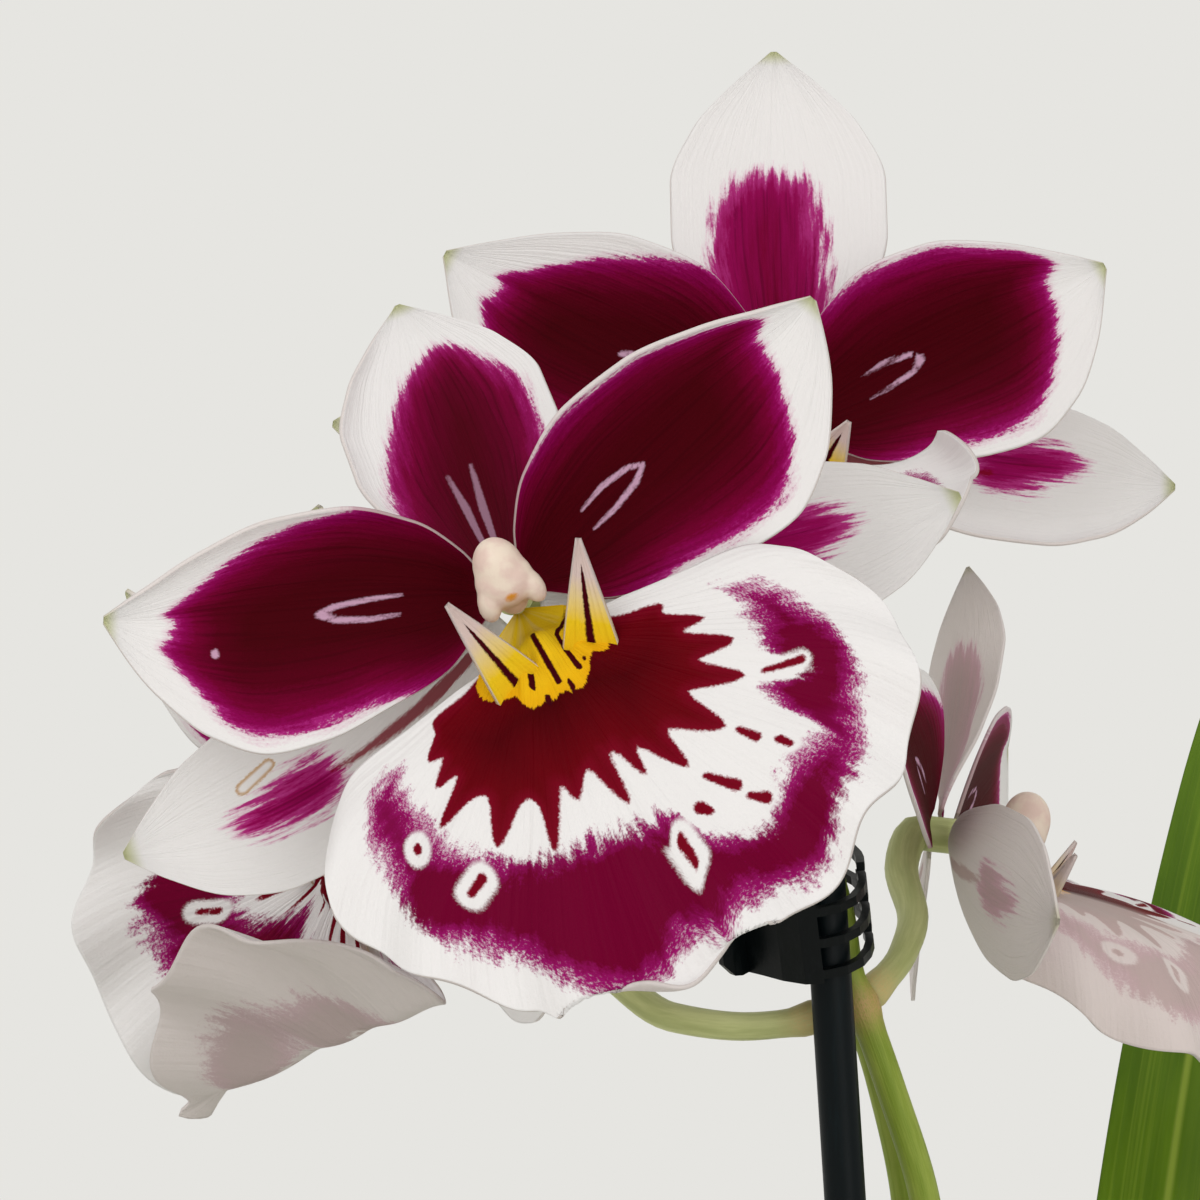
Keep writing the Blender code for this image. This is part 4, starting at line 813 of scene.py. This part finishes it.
def lip_colour(s):
    """Colour of a lip's face: white, magenta band, halos, crimson teeth and spots, yellow with stripes."""
    flow = s.field("flow", "Vector")
    streaks = s.noise(flow, (1.3, 0.22, 1), 4.0, 0.6)
    cloud = s.noise(flow, (0.35, 0.28, 1), 3.0, 0.6)
    grain = s.noise(flow, (4.5, 3.0, 1), 3.0, 0.7)
    fine = s.noise(s.place(), 3.2, 3.0, 0.6)
    band = s.wobble(s.wobble(s.field("band"), streaks, 5.5), grain, 3.2)
    band = s.wobble(band, cloud, 4.0)
    dense = s.math("ADD", s.field("dense"), s.step(band, 0.5, 4.5, (0, 0.8)), clamp=True)
    magenta = s.mix(dense, (168, 24, 120), (112, 0, 44))
    mottle = s.step(s.math("MULTIPLY_ADD", dense, 0.6, grain), 0.36, 0.7, (0.5, 1))
    amount = s.times(s.times(s.step(band, -0.7, 0.9), mottle),
                    s.step(s.wobble(s.field("halo"), grain, 0.9), 0.35, -0.35))
    colour = s.mix(amount, WHITE, magenta)
    crimson = s.wobble(s.wobble(s.field("crimson"), fine, 0.5), grain, 0.25)
    red = s.ramp(crimson, -0.25, 9, [(-0.25, (176, 60, 100)), (0.1, (122, 4, 30)), (1.4, (104, 1, 14)),
                                     (9, (66, 0, 5))])
    colour = s.mix(s.step(crimson, -0.22, 0.12), colour, red)
    yellow = s.wobble(s.wobble(s.field("yellow"), streaks, 1.3), grain, 0.5)
    gold = s.ramp(s.math("ADD", s.field("yellow"), s.times(cloud, 3.0)), 0, 16,
                  [(0, (234, 168, 14)), (3, (242, 188, 22)), (9, (246, 208, 36)), (12.5, (238, 214, 150)),
                   (16, (228, 206, 200))])
    colour = s.mix(s.step(yellow, -0.15, 0.1), colour, gold)
    colour = s.mix(s.step(s.wobble(s.field("strip"), fine, 0.2), -0.07, 0.07), colour, (66, 2, 14))
    ribs = s.noise(flow, (1.9, 0.05, 1), 2.0)
    return colour, s.relief(ribs, 1.6, fine, 0.45)


def lip_front():
    s = Surface("lip_face")
    colour, height = lip_colour(s)
    colour = s.mix(s.times(s.field("veil"), 0.72), colour, (222, 206, 202))
    return s.finish(colour, 0.46, s.bump(height, 0.16, 0.8), through=LIGHT_THROUGH, Specular_IOR_Level=0.03)


def lip_back_painted_shade():
    s = Surface("lip_back_painted_shade")
    colour, height = lip_colour(s)
    # The back's grey-mauve tone is partly its own paler, unmarked colour and partly painted shade: it is
    # darkened so the folded-over flaps of the lips read as shaded.
    colour = s.mix(0.74, colour, (208, 197, 193))
    return s.finish(colour, 0.5, s.bump(height, 0.2, 0.9), through=LIGHT_THROUGH, Specular_IOR_Level=0.15)


def column_surface():
    s = Surface("column_tissue")
    soft = s.noise(s.place(), 0.5)
    fine = s.noise(s.place(), 4)
    colour = s.mix(s.step(soft, 0.35, 0.65), (238, 222, 205), (228, 202, 190))
    colour = s.mix(s.step(s.field("base"), 0.0, 1.0), colour, (238, 226, 150))
    colour = s.mix(s.step(s.wobble(s.field("anther"), fine, 0.2), -0.12, 0.12), colour, (226, 150, 30))
    # Painted shade: a darker tan laid into the hollow under the column's cap.
    colour = s.mix(s.step(s.field("hollow_painted_shade"), -0.3, 0.9, (0, 0.7)), colour, (188, 150, 120))
    return s.finish(colour, 0.42, s.bump(fine, 0.05, 0.6), through=0.18, Specular_IOR_Level=0.4)


def stem_surface(name, light, dark, node_colour):
    s = Surface(name)
    flow = s.field("flow", "Vector")
    patches = s.noise(flow, (0.3, 0.3, 0.06), 4.0, 0.6)
    lines = s.noise(flow, (2.4, 2.4, 0.06), 2.0)
    fine = s.noise(flow, (5, 5, 3))
    colour = s.mix(s.step(patches, 0.32, 0.68), light, dark)
    colour = s.mix(s.step(lines, 0.5, 0.8, (0, 0.35)), colour, dark)
    colour = s.mix(s.times(s.field("node"), s.step(fine, 0.3, 0.6, (0.4, 1))), colour, node_colour)
    height = s.relief(lines, 1.0, fine, 0.4)
    return s.finish(colour, s.step(fine, 0.2, 0.8, (0.34, 0.5)), s.bump(height, 0.1, 0.7),
                    Specular_IOR_Level=0.15)


def leaf_surface():
    s = Surface("leaf_tissue")
    flow = s.field("flow", "Vector")
    lines = s.noise(flow, (1.5, 0.01, 1), 3.0, 0.6)
    patches = s.noise(flow, (0.2, 0.03, 1))
    fine = s.noise(flow, (3, 1.2, 1))
    colour = s.mix(s.step(patches, 0.3, 0.7), (96, 128, 20), (72, 104, 10))
    colour = s.mix(s.step(lines, 0.45, 0.75, (0, 0.5)), colour, (128, 152, 44))
    rib = s.step(s.math("ABSOLUTE", s.field("v")), 0.09, 0.02, (0, 0.7))
    colour = s.mix(rib, colour, (148, 168, 64))
    colour = s.mix(s.step(s.field("t"), 0.97, 1.0, (0, 0.8)), colour, (150, 118, 52))
    height = s.relief(lines, 1.5, fine, 0.3)
    return s.finish(colour, s.step(fine, 0.2, 0.8, (0.32, 0.46)), s.bump(height, 0.12, 0.7), through=0.12,
                    Specular_IOR_Level=0.18)


def bulb_surface():
    s = Surface("bulb_tissue")
    place = s.place()
    lines = s.noise(place, (0.9, 0.9, 0.03), 3.0, 0.6)
    fine = s.noise(place, (2.5, 2.5, 1.0), 4.0)
    colour = s.mix(s.step(lines, 0.35, 0.7), (122, 142, 48), (92, 116, 30))
    sheath = s.step(s.wobble(s.field("low"), fine, 0.3), 0.25, 0.6)
    colour = s.mix(sheath, colour, s.mix(s.step(lines, 0.4, 0.6), (186, 158, 112), (142, 112, 72)))
    height = s.relief(lines, 1.4, fine, 0.5)
    return s.finish(colour, s.step(fine, 0.2, 0.8, (0.4, 0.6)), s.bump(height, 0.3, 0.8),
                    Specular_IOR_Level=0.4)


def bark_surface():
    s = Surface("bark_chips_surface")
    place = s.place()
    chip = s.field("chip")
    lines = s.noise(s.field("flow", "Vector"), (0.25, 1.6, 1), 5.0, 0.65)
    fine = s.noise(place, 1.6, 6.0, 0.7)
    colour = s.mix(chip, (112, 70, 42), (74, 44, 28))
    colour = s.mix(s.step(lines, 0.4, 0.7, (0, 0.8)), colour, (52, 30, 20))
    colour = s.mix(s.step(fine, 0.58, 0.8, (0, 0.6)), colour, (150, 110, 78))
    height = s.relief(lines, 1.0, fine, 0.8)
    return s.finish(colour, s.step(fine, 0.2, 0.8, (0.7, 0.92)), s.bump(height, 1.2, 0.9),
                    Specular_IOR_Level=0.3)


def pot_surface():
    s = Surface("pot_plastic")
    place = s.place()
    fine = s.noise(place, 6)
    scuffs = s.noise(place, (0.12, 0.12, 0.5), 5.0, 0.65)
    colour = s.mix(s.step(scuffs, 0.4, 0.75), (66, 62, 58), (84, 80, 75))
    return s.finish(colour, s.step(scuffs, 0.3, 0.7, (0.38, 0.55)), s.bump(fine, 0.03, 0.6))


def dark_plastic(name, base, scuff, roughness):
    s = Surface(name)
    place = s.place()
    fine = s.noise(place, 5)
    scuffs = s.noise(place, (1.2, 1.2, 0.12), 4.0, 0.65)
    colour = s.mix(s.step(scuffs, 0.5, 0.8), base, scuff)
    return s.finish(colour, s.step(scuffs, 0.3, 0.75, roughness), s.bump(fine, 0.02, 0.7),
                    Specular_IOR_Level=0.12)


def steel():
    s = Surface("spring_steel")
    marks = s.noise(s.place(), (2, 2, 9), 4.0, 0.6)
    return s.finish(s.mix(s.step(marks, 0.3, 0.7), (150, 150, 150), (178, 178, 176)),
                    s.step(marks, 0.2, 0.8, (0.22, 0.4)), Metallic=1.0)


# Pieces


def make_tepals(name, shape, matrix, seed):
    size = FRONT_TEPAL if name == "bloom_front" else TEPAL
    for k, part in enumerate(("dorsal_sepal", "sepal_left", "sepal_right", "petal_left", "petal_right")):
        points = blade_points(shape[part], *size)
        fields = tepal_fields(name, part, shape[part], *size, seed + k * 0.37)
        made = piece_from(f"{name}_{part}_tissue", in_world(matrix, points.reshape(-1, 3)),
                          grid_faces(*size), fields, [TEPAL_FRONT, TEPAL_BACK])
        stands_for(thicken(made, TISSUE), f"{name}_{part}")


def horn_points(shape, root, side, rows=14, cols=8):
    """A little pointed ear that stands beside the crest, cupped across and narrowing to its tip."""
    tip = root + np.array([3.0 * side, 10.0 if shape["tilt"] < 50 else 5.0, 3.2])
    wide = np.array([1.8 * side, -1.0, 0.2])
    t = np.linspace(0, 1, rows + 1)[:, None, None]
    across = np.linspace(-1, 1, cols + 1)[None, :, None] * (-1 if side > 0 else 1)
    half = curve_through([(0, 1.5), (0.35, 1.05), (0.7, 0.55), (1, 0.1)], t)
    start = root - (tip - root) * 0.14
    return start + (tip - start) * t + wide * half * across + np.array([0, 0, 0.6]) * across**2 * half


def make_lip(name, shape, matrix, seed):
    size = FRONT_LIP if name == "bloom_front" else LIP
    points = lip_points(shape, *size)
    fields = lip_fields(*size, seed, shape.get("drawn_in", STRAIGHT_ON), shape.get("veil", -2))
    faces = grid_faces(size[0] + INNER_ROWS, size[1])
    coarse = SOLID_FRONT_LIP if name == "bloom_front" else SOLID_LIP
    stack = [points.reshape(-1, 3)]
    for side in (-1, 1):
        # The solid's ears stand on its first row of points
        column = round(coarse[1] * (0.5 + EAR_AT * side)) / coarse[1]
        row = INNER_ROWS + np.argmin(np.abs(lip_rows(size[0]) - (1 / coarse[0]) ** ROW_POWER))
        horn = horn_points(shape, points[row, round(column * size[1])], side)
        rows, cols = horn.shape[0] - 1, horn.shape[1] - 1
        first = sum(len(part) for part in stack)
        stack.append(horn.reshape(-1, 3))
        faces += grid_faces(rows, cols, first)
        t, v = paired(np.linspace(0, 1, rows + 1), np.linspace(-1, 1, cols + 1))
        away, none = np.full_like(t, -9), np.zeros_like(t)
        ear = dict(yellow=2 + 18 * t, crimson=away, halo=away, band=away, dense=none, veil=none,
                   strip=0.2 - np.abs(v) * 1.2 - np.clip(t - 0.7, 0, 1) * 2, t=t * 0.1, v=v,
                   flow=np.stack([v * 3 + 50 * side, t * 10, none], -1))
        fields = {key: np.concatenate([value, ear[key]]) for key, value in fields.items()}
    made = piece_from(f"{name}_lip_tissue", in_world(matrix, np.concatenate(stack)), faces, fields,
                      [LIP_FRONT, LIP_BACK_PAINTED_SHADE])
    stands_for(thicken(made, TISSUE), f"{name}_lip")


def column_mesh():
    """The column's soft shape, grown together from a stalk, a domed cap and two lobes beside it."""
    bm = bmesh.new()

    def lump(at, size, turn=(0, 0, 0)):
        matrix = Matrix.Translation(Vector(at) * MM)
        for angle, axis in zip(turn, "XYZ"):
            matrix = matrix @ Matrix.Rotation(math.radians(angle), 4, axis)
        bmesh.ops.create_uvsphere(bm, u_segments=32, v_segments=20, radius=MM,
                                  matrix=matrix @ Matrix.Diagonal((*size, 1)))

    lump((0, 0.6, 3.4), (1.8, 1.8, 3.3))
    lump((0, 0.4, 5.6), (1.8, 2.4, 2.4))
    lump((0, 2.7, 7.3), (2.6, 3.4, 2.8))
    lump((0, 1.6, 7.6), (3.0, 2.8, 2.3))
    for side in (-1, 1):
        lump((2.2 * side, 0.2, 7.4), (1.25, 2.1, 1.6), (10, 0, 16 * side))
    mesh = bpy.data.meshes.new("column_lumps")
    bm.to_mesh(mesh)
    bm.free()
    rough = in_scene("column_lumps", mesh)
    grown = rough.modifiers.new("Grown", "REMESH")
    grown.mode = "VOXEL"
    grown.voxel_size = 0.22 * MM
    soft = rough.modifiers.new("Soft", "SMOOTH")
    soft.factor = 0.5
    soft.iterations = 9
    made = bpy.data.meshes.new_from_object(rough.evaluated_get(bpy.context.evaluated_depsgraph_get()))
    bpy.data.objects.remove(rough)
    co = np.empty(len(made.vertices) * 3)
    made.vertices.foreach_get("co", co)
    return co.reshape(-1, 3) / MM, [list(face.vertices) for face in made.polygons]


def make_column(name, matrix, points, faces):
    x, y, z = points.T
    # anther marks the cap, base the stalk's foot, and the hollow field marks where shade is painted, under
    # the cap.
    fields = dict(anther=0.75 - np.linalg.norm((points - (0, -0.1, 8.1)) * (0.75, 1.2, 0.5), axis=1),
                  hollow_painted_shade=1.6 - np.linalg.norm((points - (0, -0.9, 7.2)) * (0.8, 1.0, 0.7), axis=1),
                  base=np.clip((4.5 - z) / 3.5, 0, 1))
    made = piece_from(f"{name}_column_tissue", in_world(matrix, points), faces, fields, [COLUMN])
    stands_for(made, f"{name}_column")


def make_pedicel(name, matrix, seed):
    heights = (-5, -2.6, -0.3) if name == "bloom_right" else (-12, -7, -3.6, -0.3)
    knob = [tuple((matrix @ (Vector((0, 0, z)) * MM)) / MM) for z in heights]
    made = tube(f"{name}_pedicel_stem", PEDICELS[name] + knob, [1.5, 1.6, 1.7, 1.8, 1.9, 2.0, 2.1, 2.1],
                [PEDICEL], swellings=(0.04,), seed=seed)
    stands_for(made, f"{name}_pedicel")


def make_blooms():
    column_points, column_faces = column_mesh()
    for seed, (name, shape) in enumerate(bloom_shapes().items()):
        matrix = bloom_matrix(shape["place"], shape["turn"])
        make_tepals(name, shape, matrix, seed)
        make_lip(name, shape["lip"], matrix, seed)
        make_column(name, matrix, column_points, column_faces)
        make_pedicel(name, matrix, seed)


def make_spikes():
    stands_for(tube("spike_1_stem", SPIKE_1, [2.1, 2.1, 2.0, 1.9, 1.85, 1.75, 1.7, 1.65, 1.5], [SPIKE],
                    swellings=(0.3, 0.55, 0.855), seed=11), "spike_1")
    stands_for(tube("spike_2_stem", SPIKE_2, [1.9, 1.9, 1.8, 1.7, 1.6, 1.5, 1.35, 1.35, 1.3], [SPIKE],
                    swellings=(0.34, 0.6), seed=12), "spike_2")


def leaf_width(half):
    """Half width along a strap leaf whose widest place has this half width."""
    return [(0, 3.4), (0.12, 4.6), (0.4, half), (0.7, half * 0.92), (0.9, half * 0.5), (1, 0.5)]


def make_leaf(name, shape, at, rows=90, cols=24):
    points = blade_points(shape, rows, cols) + at
    t, v = paired(np.linspace(0, 1, rows + 1), across_blade(cols))
    width = curve_through(shape["widths"][0], t)
    flow = np.stack([v * width, t * shape["length"], np.full(len(t), at[0])], -1)
    made = piece_from(name + "_tissue", points.reshape(-1, 3) * MM, grid_faces(rows, cols),
                      dict(flow=flow, t=t, v=v), [LEAF])
    stands_for(thicken(made, LEAF_THICK * 0.85, 0), name)


def make_bulb(name, middle, turn, around=64, up=40):
    """A flattened pseudobulb with shallow furrows up its sides."""
    bm = bmesh.new()
    bmesh.ops.create_uvsphere(bm, u_segments=around, v_segments=up, radius=1)
    points = np.array([vert.co for vert in bm.verts])
    faces = [[vert.index for vert in face.verts] for face in bm.faces]
    bm.free()
    spin = np.arctan2(points[:, 1], points[:, 0])
    furrows = 1 - 0.022 * (0.5 + 0.5 * np.cos(9 * spin + 1.1 * np.sin(2 * spin))) * (1 - points[:, 2] ** 2)
    low = np.clip(0.5 - points[:, 2] * 0.9, 0, 1)
    shaped = points * np.array(BULB_SIZE)
    shaped[:, :2] *= furrows[:, None]
    angle = math.radians(turn)
    x = shaped[:, 0] * math.cos(angle) - shaped[:, 1] * math.sin(angle) + middle[0]
    y = shaped[:, 0] * math.sin(angle) + shaped[:, 1] * math.cos(angle) + middle[1]
    made = piece_from(name + "_tissue", np.stack([x, y, shaped[:, 2] + BULB_MID], -1) * MM, faces,
                      dict(low=low), [BULB])
    stands_for(made, name)


def make_bulbs_and_leaves():
    count = 0
    for k, (middle, turn) in enumerate(BULBS):
        make_bulb(f"pseudobulb_{k + 1}", middle, turn)
        foot, heading, length, half, pitch, sway = LEAVES[k]
        shape = dict(angle=heading, length=length, start=(0, 0), pitch=pitch, sway=sway, twist=STRAIGHT,
                     cup=0, keel=16, widths=(leaf_width(half),) * 2, rolls=(STRAIGHT, STRAIGHT))
        count += 1
        make_leaf(f"leaf_{count}", shape, (foot[0], foot[1], BULB_MID + BULB_SIZE[2] + LEAF_ABOVE))
        reach, half, pitch, sway = FLANK_LEAF
        shape = dict(shape, angle=turn, length=reach - FLANK_SHORTER * k, pitch=pitch, sway=sway,
                     widths=(leaf_width(half),) * 2)
        out, heading = BULB_SIZE[0] + LEAF_THICK / 2 + LEAF_BESIDE, math.radians(turn)
        count += 1
        make_leaf(f"leaf_{count}", shape, (middle[0] + out * math.cos(heading),
                                           middle[1] + out * math.sin(heading), BULB_MID - FLANK_BELOW))


def chip_relief(x, y):
    """Height of the bark bed, a shade for the chip on top, and the place along and across that chip."""
    draw = random.Random(11)
    height, shade = np.full_like(x, -3.0), np.zeros_like(x)
    grain = np.zeros((len(x), 2))
    for k in range(BARK_CHIPS):
        angle, r = k * GOLDEN_ANGLE, CHIPS_REACH * math.sqrt((k + 0.5) / BARK_CHIPS)
        cx, cy = r * math.cos(angle) + draw.uniform(-3, 3), r * math.sin(angle) + draw.uniform(-3, 3)
        turn, long, wide = draw.uniform(0, 3.14), draw.uniform(8, 13), draw.uniform(4.5, 7)
        along = (x - cx) * math.cos(turn) + (y - cy) * math.sin(turn)
        over = (y - cy) * math.cos(turn) - (x - cx) * math.sin(turn)
        top = draw.uniform(-1, 2.6) + along * draw.uniform(-0.16, 0.16) + over * draw.uniform(-0.2, 0.2)
        ragged = 1 + 0.06 * np.sin(along * 1.7 + k) * np.sin(over * 2.3 + 2 * k)
        inside_chip = np.maximum(np.abs(along) / long, np.abs(over) / wide) * ragged
        level = np.where(inside_chip < 1, top, top - (inside_chip - 1) * 9)
        shows = level > height
        height = np.where(shows, level, height)
        shade = np.where(shows, (k * 0.618) % 1, shade)
        grain = np.where(shows[:, None], np.stack([along, over + 40 * k], -1), grain)
    return height, shade, grain


def make_bark(steps=150):
    """The bed of bark chips, closed underneath, as its solid is."""
    lean = (POT_TOP_R - RIM_OUT - POT_BASE_R) / POT_HEIGHT
    top_r = POT_BASE_R + lean * BARK_LEVEL - POT_WALL - BARK_GAPS[0]
    a, b = paired(np.linspace(-1, 1, steps + 1), np.linspace(-1, 1, steps + 1))
    reach, spin = np.maximum(np.abs(a), np.abs(b)), np.arctan2(b, a)
    x, y = top_r * reach * np.cos(spin), top_r * reach * np.sin(spin)
    height, shade, grain = chip_relief(x, y)
    height = height + 0.35 * np.sin(x * 1.9 + shade * 30) * np.sin(y * 2.3 + shade * 17)
    top = np.stack([x, y, BARK_LEVEL + height * np.minimum(1, (1.02 - reach) * 9)], -1)
    low_r, low = POT_BASE_R - POT_WALL - BARK_GAPS[1], POT_FLOOR + BARK_GAPS[2]
    under = np.stack([low_r * reach * np.cos(spin), low_r * reach * np.sin(spin), np.full_like(x, low)], -1)
    faces = grid_faces(steps, steps)
    side = steps + 1
    count = side**2
    ring = [*range(0, steps * side, side), *range(steps * side, count - 1),
            *range(count - 1, steps, -side), *range(steps, 0, -1)]
    flow = np.concatenate([grain, shade[:, None] * 50], 1)
    points = np.concatenate([top, under[ring]])
    place = {corner: count + k for k, corner in enumerate(ring)}
    rim = [[p, q, place[q], place[p]] for p, q in zip(ring, ring[1:] + ring[:1])]
    floor = [[place[corner] for corner in reversed(ring)]]
    fields = dict(chip=np.concatenate([shade, shade[ring]]), flow=np.concatenate([flow, flow[ring]]))
    made = piece_from("bark_chips", points * MM, faces + rim + floor, fields, [BARK])
    mesh = made.data
    bm = bmesh.new()
    bm.from_mesh(mesh)
    bmesh.ops.recalc_face_normals(bm, faces=bm.faces[:])
    bm.to_mesh(mesh)
    bm.free()
    stands_for(made, "bark_bed")


def dress(node, surface, bevel=0.0):
    """A carried-over solid gets its material and, for moulded edges, a small bevel."""
    obj = NODES[node]
    if not obj.material_slots:
        obj.data.materials.append(surface)
    for slot in obj.material_slots:
        slot.material = surface
    if bevel:
        edge = obj.modifiers.new("Moulded edges", "BEVEL")
        edge.width = bevel * MM
        edge.segments = 2
        edge.limit_method = "ANGLE"
        edge.angle_limit = math.radians(40)


def make_stage():
    """A round pale floor, an even pale background, soft light and the camera."""
    bm = bmesh.new()
    bmesh.ops.create_circle(bm, cap_ends=True, segments=96, radius=FLOOR_R)
    mesh = bpy.data.meshes.new("floor")
    bm.to_mesh(mesh)
    bm.free()
    floor = in_scene("floor", mesh)
    s = Surface("floor_surface")
    fine = s.noise(s.place(), 0.2)
    mesh.materials.append(s.finish(s.mix(fine, (232, 231, 227), (236, 235, 231)), 0.9))

    world = bpy.data.worlds.new("studio")
    bpy.context.scene.world = world
    world.use_nodes = True
    world.node_tree.nodes["Background"].inputs["Color"].default_value = (*linear(BACKGROUND), 1)
    for name, at, size, power, target in LIGHTS:
        light = bpy.data.lights.new(name, "AREA")
        light.size = size
        light.energy = power
        made = in_scene(name, light)
        made.location = at
        made.rotation_euler = (Vector(target) - Vector(at)).to_track_quat("-Z", "Y").to_euler()

    camera = bpy.data.cameras.new("camera")
    camera.lens = LENS
    camera.clip_start = 0.01
    view = in_scene("camera", camera)
    view.location = CAMERA_AT
    view.rotation_euler = (math.radians(90), 0, 0)
    bpy.context.scene.camera = view
    bpy.context.scene.view_settings.view_transform = "Standard"


TEPAL_FRONT, TEPAL_BACK = tepal_front(), tepal_back()
LIP_FRONT, LIP_BACK_PAINTED_SHADE = lip_front(), lip_back_painted_shade()
COLUMN = column_surface()
PEDICEL = stem_surface("pedicel_tissue", (196, 200, 142), (164, 170, 112), (196, 176, 120))
SPIKE = stem_surface("spike_tissue", (148, 162, 72), (118, 138, 44), (182, 150, 100))
LEAF, BULB, BARK = leaf_surface(), bulb_surface(), bark_surface()

make_blooms()
make_spikes()
make_bulbs_and_leaves()
make_bark()
STAKE = dark_plastic("stake_coating", (3, 11, 14), (8, 20, 24), (0.35, 0.5))
stands_for(tube("stake_rod", [STAKE_FOOT, STAKE_TOP], [STAKE_R] * 2, [STAKE], sides=32, step=4), "stake")
CLIP = dark_plastic("clip_plastic", (4, 8, 9), (14, 18, 20), (0.28, 0.42))
dress("clip_jaw_rear", CLIP, 0.12)
dress("clip_jaw_front", CLIP, 0.12)
STEEL = steel()
dress("clip_pin", STEEL)
dress("clip_spring", STEEL)
dress("pot", pot_surface())
make_stage()
